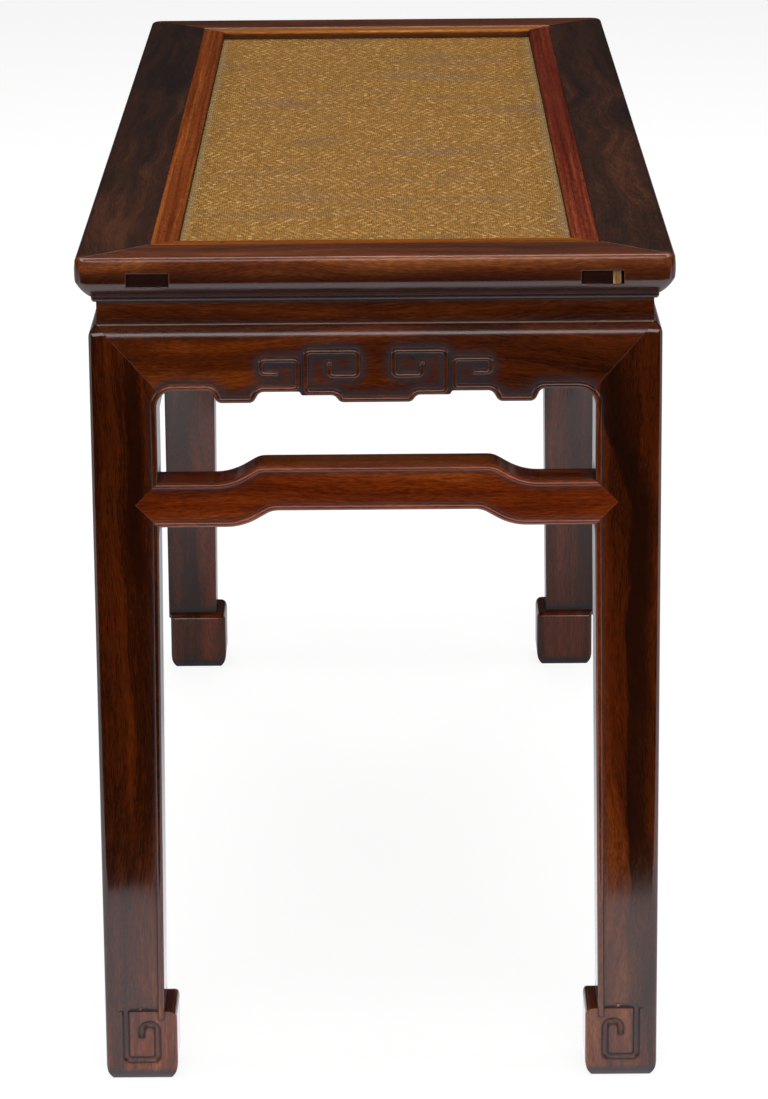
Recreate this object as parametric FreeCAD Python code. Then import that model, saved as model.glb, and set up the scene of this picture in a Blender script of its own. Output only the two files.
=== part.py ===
import FreeCAD, Part
import math
import os

# Oblong waisted hardwood stool with a woven cane seat, in millimetres.
# X runs across the stool, Y along it and Z up. The origin is on the floor under the middle of the seat.
# Each side is drawn as if it faced -Y: u runs along the side, depth goes inward from the face of the
# legs, and z is up. place_side then turns the finished piece to its own side of the stool.

# Seat frame
SEAT_LENGTH = 930.0         # over the bulge of the moulded edge
SEAT_WIDTH = 349.0          # over the bulge of the moulded edge
SEAT_HEIGHT = 510.0         # floor to the top of the frame
FRAME_THICK = 27.3
RAIL_SHOW = 42.7            # width of rail that shows outside the press strips
RAIL_WIDE = 61.5            # whole width of a rail, with the rebate for strip and mat
REBATE_DEEP = 8.0           # step in the rail that holds the mat and its press strips
EDGE_ARRIS = 3.0            # rounding of the top edge
EDGE_BULGE = 0.4            # how far the edge swells beyond its top and bottom
EDGE_UNDER = 9.0            # how far the moulding curves in below, and the plan radius of the corners
EDGE_UNDER_TALL = 9.0
EDGE_UNDER_ROUND = 0.6      # fullness of that curve
EDGE_LIP_TALL = 3.6         # small bead under the moulding
EDGE_LIP_STEP = 0.5         # set-back of that bead
EDGE_LIP_ROUND = 1.2        # how far that bead curves in at its foot
INNER_ARRIS = 0.8           # rounding of the rail beside the press strip

# Corner joint of the frame
RAIL_TENON_WIDE = 24.4
RAIL_TENON_THICK = 8.0
RAIL_TENON_CHEEK = 6.6      # wood left between the tenon and the inner edge of the rail
RAIL_TENON_COVER = 1.0      # wood left between the tenon and the rebate
RAIL_TENON_RECESS = 4.0     # how far the end of the tenon lies behind the moulded edge
WEDGE_WIDE = 4.6
WEDGE_LONG = 14.0
WEDGE_TAPER = 1.2
WEDGE_PROUD = 2.5           # how far the wedge stands out past the end of the tenon
WEDGE_GAP = 1.6             # empty slot beside the wedge
WEDGE_GAP_DEEP = 6.0

# Seat panel
MAT_THICK = 1.4
WEB_THICK = 2.2
WEB_CORD_WIDE = 4.0
WEB_GAPS_ACROSS = 6
WEB_GAPS_ALONG = 21
STRIP_WIDE = 15.3
STRIP_DROP = 0.5            # top of the strip below the top of the frame
STRIP_FLAT = 13.8           # nearly level part of the strip
STRIP_FALL = 0.2            # fall over that part
STRIP_NOSE = 4.2            # upright inner edge of the strip
STRIP_BULGE = 0.3           # fullness of the rounding between the two
PIN_WIDE = 2.4
PIN_BITE = 5.0              # depth of the pin in the rail
PINS_PER_LONG_STRIP = 4
PINS_PER_SHORT_STRIP = 2
PIN_FROM_END = 42.0         # from the end of a strip to its first pin

# Bowed braces
BRACE_FROM_MIDDLE = 205.0
BRACE_WIDE = 32.0
BRACE_THICK = 13.0
BRACE_BOW = 22.0
BRACE_TENON_LONG = 9.0
BRACE_TENON_SHOULDER = 2.0  # shoulder all round the tenon
BRACE_BELOW_REBATE = 6.0

# Waist
WAIST_TALL = 13.6
WAIST_SET_BACK = 4.9        # behind the face of the aprons
WAIST_THICK = 10.0
WAIST_TONGUE_TALL = 3.0
WAIST_TONGUE_THICK = 5.0

# Legs
LEG_INSET = 7.3             # face of the legs and aprons behind the frame's edge
LEG_FACE = 38.9             # width of each face of a leg
LEG_TAPER = 3.0             # narrowing between the stretcher and the foot
LEG_ROUND = 3.5             # rounding of the outer corner
LEG_BEND_ROUND = 250.0      # soft bend of the bead where the taper begins
FOOT_WIDE = 43.4
FOOT_TALL = 44.0
FOOT_LEDGE_ROUND = 5.0
FOOT_TOE_WIDE = 4.0         # curve of the foot towards the floor
FOOT_TOE_TALL = 10.5
FOOT_SCOOP_DEEP = 2.2       # hollow above the ledge of the foot, cut like a bowl
FOOT_SCOOP_TALL = 15.0
FOOT_GROOVE_WIDE = 4.4
FOOT_GROOVE_DEEP = 1.6
FOOT_GROOVE_BEND = 1.3      # radius of its turns, in radii of the groove
SPIRAL_FROM_EDGE = 12.5     # outer turn of the carved spiral, from the outer edge of the leg
SPIRAL_LEFT_INSIDE = 12.0   # foot left between the spiral and the inner edge
SPIRAL_OFF_FLOOR = 13.0
SPIRAL_BELOW_LEDGE = 8.2
SPIRAL_END_LONG = 7.0       # length of the last turn
SPIRAL_END_ROUND = 4.2      # radius of the last turns
LEG_TENON_WIDE = 9.0
LEG_TENON_ROOF = 4.0        # wood left above the long tenon

# Aprons
APRON_TALL = 39.1           # from the foot of the waist to the plain lower edge
APRON_THICK = 20.0
SHOULDER_TALL = 7.6         # rounded top of aprons and legs
SHOULDER_SET = 4.1
SHOULDER_ROUND = 9.0
ARCH_ROUND = 10.0           # corner between apron and leg
LAP_THICK = 8.0             # wood that laps over the face of the leg
APRON_TENON_LONG = 14.0
FRET_COLUMNS = 54           # columns in half the clear width of the short side
FRET_ROW = 2.5              # height of a row of the carving

# Carving of an apron, as columns from the middle and rows above the plain lower edge
FRET_STEPS = ((8.8, -3.0), (10.1, -1.3), (18.2, -1.3), (18.8, -0.4))
FRET_TABS = ((25.4, -0.4), (23.8, -3.0), (15.0, -3.0), (13.5, 0.0))     # columns from the leg
FRET_LARGE = ((17.2, 9.2), (4.4, 9.2), (4.4, 3.4), (11.4, 3.4), (11.4, 6.4))
FRET_SMALL = ((19.2, 7.2), (28.2, 7.2), (28.2, 4.0), (24.4, 4.0))

# Stretchers
STRETCHER_BELOW_APRON = 55.3    # from the apron's plain lower edge to the ends of the stretcher
STRETCHER_TALL = 27.0
STRETCHER_DEEP = 27.0
HUMP_RISE = 9.8
HUMP_FROM_LEG = 46.0        # where the middle line begins to rise
HUMP_RUN = 17.0
HUMP_ROUND = 13.0           # bend at the top of the rise
HUMP_FOOT_ROUND = 36.0      # bend at its foot
STRETCHER_TENON_LONG = 18.0

# Shared by the members
BEAD_WIDE = 3.7             # raised bead along the inner edges
BEAD_PROUD = 1.6
BEAD_FROM_EDGE = 0.2
BEAD_TIP = 1.15             # round end of a bead, in radii of the bead
EDGE_BEND = 1.2             # inner radius of a bend in a beaded edge, in radii of the bead
FRET_BEND = 1.4             # radius of a turn in a scroll, in radii of the bead
TENON_THICK = 9.0
TENON_SHOULDER = 3.0        # shoulder above and below a tenon
BEHIND_LAP = 1.0            # between a lap and the tenon behind it
FIT = 0.1                   # clearance round a tenon or pin

# Heights and places that follow from the sizes above
V = FreeCAD.Vector
frame_under = SEAT_HEIGHT - FRAME_THICK
rebate_floor = SEAT_HEIGHT - REBATE_DEEP
mat_top = rebate_floor + MAT_THICK
waist_foot = frame_under - WAIST_TALL
apron_under = waist_foot - APRON_TALL
shoulder_foot = waist_foot - SHOULDER_TALL
post_from_face = WAIST_SET_BACK + WAIST_THICK + FIT
stretcher_top = apron_under - STRETCHER_BELOW_APRON
stretcher_under = stretcher_top - STRETCHER_TALL
half_width = SEAT_WIDTH / 2 - LEG_INSET
half_length = SEAT_LENGTH / 2 - LEG_INSET
bead_line = BEAD_FROM_EDGE + BEAD_WIDE / 2
bead_round = (BEAD_WIDE ** 2 / 4 + BEAD_PROUD ** 2) / (2 * BEAD_PROUD)
bead_sink = bead_round - BEAD_PROUD
bend_round = bead_line + EDGE_BEND * bead_round
fret_round = FRET_BEND * bead_round
fret_column = (half_width - LEG_FACE) / FRET_COLUMNS
rail_tenon_top = rebate_floor - RAIL_TENON_COVER
rail_tenon_under = rail_tenon_top - RAIL_TENON_THICK
brace_top = rebate_floor - BRACE_BELOW_REBATE
hump_bends = [HUMP_FOOT_ROUND, HUMP_ROUND, HUMP_ROUND, HUMP_FOOT_ROUND]
pin_top = SEAT_HEIGHT - STRIP_DROP - STRIP_FALL / 2
diagonal = math.sqrt(0.5)

# side name: (turn about Z, half the stool's depth to that side's face, half the length of that face)
SIDES = {
    "front": (0, half_length, half_width),
    "right": (90, half_width, half_length),
    "back": (180, half_length, half_width),
    "left": (270, half_width, half_length),
}
LONG_SIDES = ("left", "right")
# leg name: (mirrored in X, mirrored in Y, the two sides that it joins)
LEGS = {
    "front_right": (False, False, ("front", "right")),
    "front_left": (True, False, ("front", "left")),
    "back_right": (False, True, ("back", "right")),
    "back_left": (True, True, ("back", "left")),
}


def line(start, end):
    return Part.LineSegment(start, end).toShape()


def arc(start, through, end):
    return Part.Arc(start, through, end).toShape()


def chain(points):
    """Straight edges from point to point."""
    return [line(a, b) for a, b in zip(points, points[1:])]


def prism(edges, along):
    return Part.Face(Part.Wire(edges)).extrude(along)


def block(u0, u1, d0, d1, z0, z1):
    return Part.makeBox(u1 - u0, d1 - d0, z1 - z0, V(u0, d0, z0))


def grown(limits):
    """A block's limits with the fitting clearance added on every side."""
    return [value + (FIT if i % 2 else -FIT) for i, value in enumerate(limits)]


def face_point(u, z):
    return V(u, 0, z)


def place_side(shape, side):
    turn, half_depth, _ = SIDES[side]
    placed = shape.copy()
    placed.translate(V(0, -half_depth, 0))
    placed.rotate(V(0, 0, 0), V(0, 0, 1), turn)
    return placed


def both_ends(shape):
    """A piece of a side and its mirror image at the other end of that side."""
    return [shape, shape.mirror(V(0, 0, 0), V(1, 0, 0))]


def mirrored(points):
    return [V(-p.x, p.y, p.z) for p in reversed(points)]


def rounded_path(points, radii):
    """Edges of a polyline whose corners are rounded, one radius for each inner point."""
    edges = []
    start = points[0]
    for before, corner, after, radius in zip(points, points[1:], points[2:], radii):
        back = (before - corner).normalize()
        ahead = (after - corner).normalize()
        half_turn = (math.pi - back.getAngle(ahead)) / 2
        reach = radius * math.tan(half_turn)
        inward = (back + ahead).normalize()
        middle = corner + inward * (radius / math.cos(half_turn) - radius)
        edges.append(line(start, corner + back * reach))
        edges.append(arc(corner + back * reach, middle, corner + ahead * reach))
        start = corner + ahead * reach
    edges.append(line(start, points[-1]))
    return edges


def offset_points(points, distance):
    """A polyline on the face moved to its left by a distance."""
    lefts = []
    for a, b in zip(points, points[1:]):
        run = (b - a).normalize()
        lefts.append(V(-run.z, 0, run.x))
    moved = [points[0] + lefts[0] * distance]
    for corner, before, after in zip(points[1:], lefts, lefts[1:]):
        moved.append(corner + (before + after) * (distance / (1 + before.dot(after))))
    moved.append(points[-1] + lefts[-1] * distance)
    return moved


def offset_radii(points, radii, distance):
    """Corner radii of that moved polyline: smaller where it turns left, larger where it turns right."""
    changed = []
    for before, corner, after, radius in zip(points, points[1:], points[2:], radii):
        turn = (corner - before).cross(after - corner).y
        changed.append(radius - distance if turn < 0 else radius + distance)
    return changed


def bead(points, radii):
    """Half-round bead on the face of a side along a path with rounded corners."""
    sunk = [p + V(0, bead_sink, 0) for p in points]
    path = Part.Wire(rounded_path(sunk, radii))
    ring = Part.Wire(Part.makeCircle(bead_round, sunk[0], sunk[1] - sunk[0]))
    return path.makePipeShell([ring], True, False)


def bead_tip(point):
    return Part.makeSphere(BEAD_TIP * bead_round, point + V(0, bead_sink, 0))


def keep_lap(shape, half_clear):
    """Leave only the lap where a member passes the inner edge of the legs."""
    reach = LEG_FACE + LEG_INSET
    behind = block(half_clear, half_clear + reach, LAP_THICK, LEG_FACE, 0, SEAT_HEIGHT)
    return shape.cut(both_ends(behind))


def mitred(half_outer, inset, depth, z0, z1):
    """Plan trapezoid of a piece whose ends are mitred, from the inset line to the depth."""
    plan = [
        V(-half_outer, inset, z0),
        V(half_outer, inset, z0),
        V(half_outer - depth, inset + depth, z0),
        V(-half_outer + depth, inset + depth, z0),
        V(-half_outer, inset, z0),
    ]
    return prism(chain(plan), V(0, 0, z1 - z0))


# Seat frame


def rail_tenon_limits(half_span):
    """The through tenon at the right end of a long rail."""
    inner = RAIL_WIDE - LEG_INSET - RAIL_TENON_CHEEK
    start = half_span - RAIL_WIDE
    end = half_span - RAIL_TENON_RECESS
    return [start, end, inner - RAIL_TENON_WIDE, inner, rail_tenon_under, rail_tenon_top]


def make_rail(half_span):
    """One mitred rail: a straight moulded edge, its rounded corners and the rebated body."""
    top = SEAT_HEIGHT
    edge = -LEG_INSET
    under_end = V(0, edge + EDGE_UNDER, frame_under + EDGE_LIP_TALL)
    turn = V(0, edge + EDGE_BULGE, under_end.z + EDGE_UNDER_TALL)
    brow = V(0, edge + EDGE_BULGE, top - EDGE_ARRIS)
    swell = V(0, edge, (turn.z + brow.z) / 2)
    crown = V(0, edge + EDGE_BULGE + EDGE_ARRIS, top)
    deep_top = V(0, edge + EDGE_UNDER, top)
    arris_middle = V(0, crown.y - EDGE_ARRIS * diagonal, brow.z + EDGE_ARRIS * diagonal)
    under_middle = (turn + under_end) / 2 - V(0, EDGE_UNDER_ROUND, EDGE_UNDER_ROUND)
    moulding = [
        line(deep_top, crown),
        arc(crown, arris_middle, brow),
        arc(brow, swell, turn),
        arc(turn, under_middle, under_end),
        line(under_end, deep_top),
    ]
    half_run = half_span - EDGE_UNDER
    to_start = V(-half_run, 0, 0)
    section = Part.Face(Part.Wire(moulding))
    section.translate(to_start)
    straight = section.extrude(V(2 * half_run, 0, 0))
    left_end = section.revolve(to_start + deep_top, V(0, 0, 1), -45)
    right_end = left_end.mirror(V(0, 0, 0), V(1, 0, 0))

    lip_top = V(0, edge + EDGE_UNDER + EDGE_LIP_STEP, under_end.z)
    lip_foot = V(0, lip_top.y + EDGE_LIP_ROUND, frame_under)
    lip_middle = (lip_top + lip_foot) / 2 - V(0, EDGE_LIP_STEP, 0)
    inner = edge + RAIL_WIDE
    step = edge + RAIL_SHOW
    body = [
        arc(lip_foot, lip_middle, lip_top),
        line(lip_top, under_end),
        line(under_end, deep_top),
        line(deep_top, V(0, step - INNER_ARRIS, top)),
        line(V(0, step - INNER_ARRIS, top), V(0, step, top - INNER_ARRIS)),
        line(V(0, step, top - INNER_ARRIS), V(0, step, rebate_floor)),
        line(V(0, step, rebate_floor), V(0, inner, rebate_floor)),
        line(V(0, inner, rebate_floor), V(0, inner, frame_under)),
        line(V(0, inner, frame_under), lip_foot),
    ]
    inner_section = Part.Face(Part.Wire(body))
    inner_section.translate(V(-half_span, 0, 0))
    long_body = inner_section.extrude(V(2 * half_span, 0, 0))
    between_mitres = mitred(half_span, edge, RAIL_WIDE, frame_under, top)
    return long_body.common(between_mitres).fuse([straight, left_end, right_end]).removeSplitter()


def make_wedge(limits):
    """The sliver driven beside the tenon, near the outer edge of the mortise's mouth."""
    _, end, d0, _, z0, z1 = limits
    outer = end + WEDGE_PROUD
    near = d0 + WEDGE_GAP
    plan = [
        V(outer, near, z0),
        V(outer, near + WEDGE_WIDE, z0),
        V(outer - WEDGE_LONG, near + WEDGE_WIDE - WEDGE_TAPER, z0),
        V(outer - WEDGE_LONG, near, z0),
        V(outer, near, z0),
    ]
    return prism(chain(plan), V(0, 0, z1 - z0))


def make_wedge_gap(limits):
    """The slot that stays empty between the wedge and the outer edge of the mortise."""
    _, end, d0, _, z0, z1 = limits
    return block(end - WEDGE_GAP_DEEP, end, d0, d0 + WEDGE_GAP, z0, z1)


# Seat panel


def make_strip(half_span):
    """Press strip: nearly level on top, then rounded down to the mat."""
    outer = RAIL_SHOW - LEG_INSET
    inner = outer + STRIP_WIDE
    top = SEAT_HEIGHT - STRIP_DROP
    level_end = V(0, outer + STRIP_FLAT, top - STRIP_FALL)
    nose = V(0, inner, mat_top + STRIP_NOSE)
    bulge = (level_end + nose) / 2 + V(0, STRIP_BULGE, STRIP_BULGE)
    section = [
        line(V(0, outer, mat_top), V(0, outer, top)),
        line(V(0, outer, top), level_end),
        arc(level_end, bulge, nose),
        line(nose, V(0, inner, mat_top)),
        line(V(0, inner, mat_top), V(0, outer, mat_top)),
    ]
    face = Part.Face(Part.Wire(section))
    face.translate(V(-half_span, 0, 0))
    half_outer = half_span - outer
    return face.extrude(V(2 * half_span, 0, 0)).common(mitred(half_outer, outer, STRIP_WIDE, mat_top, top))


def make_pins(half_span, count, extra, high):
    """Evenly placed pins of one strip; extra widens them into the holes that they need."""
    reach = half_span + LEG_INSET - RAIL_SHOW - PIN_FROM_END
    middle = RAIL_SHOW - LEG_INSET + STRIP_FLAT / 2
    low = rebate_floor - PIN_BITE - extra
    radius = PIN_WIDE / 2 + extra
    places = [reach * (2 * i / (count - 1) - 1) for i in range(count)]
    return [Part.makeCylinder(radius, high - low, V(u, middle, low)) for u in places]


def make_mat():
    half_x = SEAT_WIDTH / 2 - RAIL_SHOW
    half_y = SEAT_LENGTH / 2 - RAIL_SHOW
    return block(-half_x, half_x, -half_y, half_y, rebate_floor, mat_top)


def make_web():
    """Diagonal net of palm-fibre cords across the opening of the frame, just under the mat."""
    half_x = SEAT_WIDTH / 2 - RAIL_WIDE
    half_y = SEAT_LENGTH / 2 - RAIL_WIDE
    low = rebate_floor - WEB_THICK
    pitch_x = 2 * half_x / WEB_GAPS_ACROSS
    pitch_y = 2 * half_y / WEB_GAPS_ALONG
    cord = WEB_CORD_WIDE * diagonal
    gap_x = pitch_x / 2 - cord
    gap_y = pitch_y / 2 - cord

    def inside_rim(x, y):
        inner_x = half_x - cord
        inner_y = half_y - cord
        return V(max(-inner_x, min(inner_x, x)), max(-inner_y, min(inner_y, y)), low)

    rim = [V(x * half_x, y * half_y, low) for x, y in ((-1, -1), (1, -1), (1, 1), (-1, 1))]
    wires = [Part.Wire(chain(rim + rim[:1]))]
    for i in range(2 * WEB_GAPS_ACROSS + 1):
        for j in range(2 * WEB_GAPS_ALONG + 1):
            at_corner = i in (0, 2 * WEB_GAPS_ACROSS) and j in (0, 2 * WEB_GAPS_ALONG)
            if (i + j) % 2 or at_corner:
                continue
            x = -half_x + i * pitch_x / 2
            y = -half_y + j * pitch_y / 2
            share_x = 1 - cord / gap_x if i in (0, 2 * WEB_GAPS_ACROSS) else 1
            share_y = 1 - cord / gap_y if j in (0, 2 * WEB_GAPS_ALONG) else 1
            ring = [
                inside_rim(x - gap_x * share_y, y),
                inside_rim(x, y - gap_y * share_x),
                inside_rim(x + gap_x * share_y, y),
                inside_rim(x, y + gap_y * share_x),
            ]
            ring = [p for k, p in enumerate(ring) if (p - ring[k - 1]).Length > FIT]
            wires.append(Part.Wire(chain(ring + ring[:1])))
    return Part.makeFace(wires, "Part::FaceMakerBullseye").extrude(V(0, 0, WEB_THICK))


def brace_tenon_limits(place):
    """Tenon of a brace in the right-hand long rail, in the stool's own X, Y and Z."""
    rail_inner = SEAT_WIDTH / 2 - RAIL_WIDE
    half = BRACE_WIDE / 2 - BRACE_TENON_SHOULDER
    low = brace_top - BRACE_THICK + BRACE_TENON_SHOULDER
    high = brace_top - BRACE_TENON_SHOULDER
    return [rail_inner, rail_inner + BRACE_TENON_LONG, place - half, place + half, low, high]


def make_brace(place):
    """Brace bowed downward, so that the seat can give."""
    span = SEAT_WIDTH / 2 - RAIL_WIDE
    y = place - BRACE_WIDE / 2
    low = brace_top - BRACE_THICK
    edges = [
        arc(V(-span, y, brace_top), V(0, y, brace_top - BRACE_BOW), V(span, y, brace_top)),
        line(V(span, y, brace_top), V(span, y, low)),
        arc(V(span, y, low), V(0, y, low - BRACE_BOW), V(-span, y, low)),
        line(V(-span, y, low), V(-span, y, brace_top)),
    ]
    tenon = block(*brace_tenon_limits(place))
    return prism(edges, V(0, BRACE_WIDE, 0)).fuse(both_ends(tenon)).removeSplitter()


# Waist


def waist_tongue(half_span, extra):
    """Tongue along the top of a waist board; extra widens it into its groove."""
    front = WAIST_SET_BACK + (WAIST_THICK - WAIST_TONGUE_THICK) / 2 - extra
    thick = WAIST_TONGUE_THICK + 2 * extra
    return mitred(half_span - front, front, thick, frame_under, frame_under + WAIST_TONGUE_TALL + extra)


def make_waist(half_span):
    half_outer = half_span - WAIST_SET_BACK
    board = mitred(half_outer, WAIST_SET_BACK, WAIST_THICK, waist_foot, frame_under)
    return board.fuse(waist_tongue(half_span, 0)).removeSplitter()


# Aprons


def fret_point(column, row):
    """A point of the carving, in columns from the middle of a side and rows from its plain lower edge."""
    return face_point(column * fret_column, apron_under + row * FRET_ROW)


def apron_edge(half_clear):
    """Right half of the stepped lower edge, from the middle to the arch, and the radius of each corner."""
    leg = half_clear / fret_column
    points = [fret_point(0, FRET_STEPS[0][1])]
    points += [fret_point(column, row) for column, row in FRET_STEPS]
    points += [fret_point(leg - column, row) for column, row in FRET_TABS]
    points.append(face_point(half_clear - ARCH_ROUND, apron_under))
    small = bead_line / 2
    return points, [bend_round, bend_round, small, small] + 4 * [bend_round]


def arch_middle(half_clear):
    """The point of the arch where the mitre between leg and apron begins."""
    back = ARCH_ROUND * (1 - diagonal)
    return face_point(half_clear - back, apron_under - back)


def mitre_head(half_span):
    """The point at the foot of the waist where that mitre ends."""
    return face_point(half_span - WAIST_SET_BACK, waist_foot)


def apron_outline(half_span, half_clear):
    """Face of an apron: the lower edge, the two arches, the two mitres and the top."""
    points, radii = apron_edge(half_clear)
    whole = mirrored(points[1:]) + points[1:]
    lower = rounded_path(whole, radii[::-1] + radii)
    start = arch_middle(half_clear)
    head = mitre_head(half_span)
    turn = math.pi / 8
    swing = V(-ARCH_ROUND + ARCH_ROUND * math.sin(turn), 0, -ARCH_ROUND + ARCH_ROUND * math.cos(turn))
    through = face_point(half_clear, apron_under) + swing
    right = arc(points[-1], through, start)
    left = arc(*mirrored([points[-1], through, start]))
    top = chain([start, head] + mirrored([start, head]))
    return lower + [right] + top + [left]


def apron_fret(half_clear):
    """Beads along the lower edge, each running on into a squared scroll."""
    points, radii = apron_edge(half_clear)
    line_points = offset_points(points, bead_line)
    line_radii = offset_radii(points, radii, bead_line)
    arch = face_point(half_clear + bead_line, apron_under + bead_line)
    arch_foot = arch - V(0, 0, 2 * ARCH_ROUND)
    small_foot = fret_point(FRET_SMALL[0][0], FRET_STEPS[3][1]) + V(0, 0, bead_line)
    small = [arch_foot, arch] + line_points[-2:-6:-1] + [small_foot]
    small += [fret_point(column, row) for column, row in FRET_SMALL]
    small_radii = [ARCH_ROUND + bead_line] + line_radii[:-5:-1] + len(FRET_SMALL) * [fret_round]
    large_foot = fret_point(FRET_LARGE[0][0], FRET_STEPS[1][1]) + V(0, 0, bead_line)
    large = line_points[:3] + [large_foot]
    large += [fret_point(column, row) for column, row in FRET_LARGE]
    large_radii = line_radii[:2] + len(FRET_LARGE) * [fret_round]
    whole_large = mirrored(large[1:]) + large[1:]
    beads = both_ends(bead(small, small_radii)) + [bead(whole_large, large_radii[::-1] + large_radii)]
    return beads + both_ends(bead_tip(small[-1])) + both_ends(bead_tip(large[-1]))


def arc_middle(deep, tall):
    """Middle of an arc that leaves an upright face smoothly and goes that deep in over that height."""
    radius = (deep ** 2 + tall ** 2) / (2 * deep)
    half_turn = math.asin(tall / radius) / 2
    return V(0, radius * (1 - math.cos(half_turn)), radius * math.sin(half_turn))


def shoulder_section(thick, z0):
    """Upright section of an apron or leg: plain face, rounded shoulder and flat top."""
    foot = V(0, 0, shoulder_foot)
    top = V(0, SHOULDER_SET, waist_foot)
    radius = SHOULDER_ROUND
    reach = math.hypot(SHOULDER_TALL, radius - SHOULDER_SET)
    turn = math.atan2(SHOULDER_TALL, radius - SHOULDER_SET) - math.acos(radius / reach)
    middle = foot + V(0, radius * (1 - math.cos(turn / 2)), radius * math.sin(turn / 2))
    end = foot + V(0, radius * (1 - math.cos(turn)), radius * math.sin(turn))
    rest = [top, V(0, thick, waist_foot), V(0, thick, z0), V(0, 0, z0), foot]
    return [arc(foot, middle, end)] + chain([end] + rest)


def member_tenon_limits(half_clear, long, z0, z1):
    """Tenon at the right end of an apron or stretcher, behind the lap."""
    front = LAP_THICK + BEHIND_LAP
    back = front + TENON_THICK
    return [half_clear, half_clear + long, front, back, z0 + TENON_SHOULDER, z1 - TENON_SHOULDER]


def apron_tenon_limits(half_clear):
    return member_tenon_limits(half_clear, APRON_TENON_LONG, apron_under + TENON_SHOULDER, waist_foot)


def make_apron(half_span, half_clear):
    outline = prism(apron_outline(half_span, half_clear), V(0, APRON_THICK, 0))
    lowest = stretcher_under
    section = Part.Face(Part.Wire(shoulder_section(APRON_THICK, lowest)))
    section.translate(V(-half_span, 0, 0))
    long_board = section.extrude(V(2 * half_span, 0, 0))
    between_mitres = mitred(half_span, 0, APRON_THICK, lowest, waist_foot)
    board = keep_lap(long_board.common(outline).common(between_mitres), half_clear)
    tenon = block(*apron_tenon_limits(half_clear))
    room = lap_room(apron_outline(half_span, half_clear))
    carving = [shape.common(room) for shape in apron_fret(half_clear)]
    return board.fuse(both_ends(tenon) + carving).removeSplitter()


def lap_room(outline):
    """Space of a member's face, from in front of its bead to the back of its lap."""
    face = Part.Face(Part.Wire(outline))
    face.translate(V(0, -2 * BEAD_WIDE, 0))
    return face.extrude(V(0, 2 * BEAD_WIDE + LAP_THICK, 0))


# Stretchers


def stretcher_edge(half_clear, height, further):
    """One edge of a stretcher from leg to leg, rising to the hump; further shifts the rise inward."""
    start = half_clear - HUMP_FROM_LEG - further
    right = [
        face_point(start - HUMP_RUN, height + HUMP_RISE),
        face_point(start, height),
        face_point(half_clear, height),
    ]
    return mirrored(right) + right


def stretcher_edges(half_clear):
    """Lower and upper edge, with the rise of the lower one further in so that the width stays even."""
    shift = STRETCHER_TALL * math.tan(math.atan2(HUMP_RISE, HUMP_RUN) / 2)
    lower = stretcher_edge(half_clear, stretcher_under, shift / 2)
    upper = stretcher_edge(half_clear, stretcher_top, -shift / 2)
    return lower, upper


def stretcher_outline(half_clear):
    """Face of a stretcher with a pointed shoulder at each end."""
    lower, upper = stretcher_edges(half_clear)
    middle_height = stretcher_under + STRETCHER_TALL / 2
    tip = face_point(half_clear + STRETCHER_TALL / 2, middle_height)
    right = chain([lower[-1], tip, upper[-1]])
    left = chain(mirrored([lower[-1], tip, upper[-1]]))
    return rounded_path(lower, hump_bends) + right + rounded_path(upper[::-1], hump_bends) + left


def stretcher_beads(half_clear):
    """A bead just inside each edge, run on past the inner edge of the legs."""
    lower, upper = stretcher_edges(half_clear)
    beads = []
    for edge, inward in ((lower, bead_line), (upper, -bead_line)):
        reach = V(2 * BEAD_WIDE, 0, 0)
        longer = [edge[0] - reach] + edge[1:-1] + [edge[-1] + reach]
        moved = offset_points(longer, inward)
        beads.append(bead(moved, offset_radii(longer, hump_bends, inward)))
    return beads


def stretcher_tenon_limits(half_clear):
    return member_tenon_limits(half_clear, STRETCHER_TENON_LONG, stretcher_under, stretcher_top)


def make_stretcher(half_clear):
    outline = stretcher_outline(half_clear)
    bar = keep_lap(prism(outline, V(0, STRETCHER_DEEP, 0)), half_clear)
    tenon = block(*stretcher_tenon_limits(half_clear))
    room = lap_room(outline)
    beads = [shape.common(room) for shape in stretcher_beads(half_clear)]
    return bar.fuse(both_ends(tenon) + beads).removeSplitter()


# Legs, drawn in the corner at the right of the front, with both outer faces alike


def swap_faces(shape):
    """The same shape on the other outer face of the leg."""
    return shape.mirror(V(half_width, -half_length, 0), V(1, 1, 0))


def rounded_column(size, z0, z1):
    """Square column in the leg's corner with rounded upright edges."""
    column = Part.makeBox(size, size, z1 - z0, V(half_width - size, -half_length, z0))
    upright = [e for e in column.Edges if e.BoundBox.ZLength > e.BoundBox.XLength + e.BoundBox.YLength]
    return column.makeFillet(LEG_ROUND, upright)


def squared(edges, size, z0, z1):
    """The solid whose two faces both have this section, in the leg's corner."""
    section = Part.Face(Part.Wire(edges))
    section.translate(V(half_width - size, -half_length, 0))
    one = section.extrude(V(size, 0, 0))
    return one.common(swap_faces(one)).common(rounded_column(size, z0, z1))


def leg_shaft():
    """Straight beside the stretcher and above, tapered on the inner faces below it."""
    foot = FOOT_TALL - FOOT_LEDGE_ROUND
    edges = shoulder_section(LEG_FACE, foot)[:3]
    inner = [
        V(0, LEG_FACE, waist_foot),
        V(0, LEG_FACE, stretcher_under),
        V(0, LEG_FACE - LEG_TAPER, foot),
        V(0, 0, foot),
        V(0, 0, shoulder_foot),
    ]
    return squared(edges + chain(inner), LEG_FACE + FOOT_WIDE, foot, waist_foot)


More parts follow.
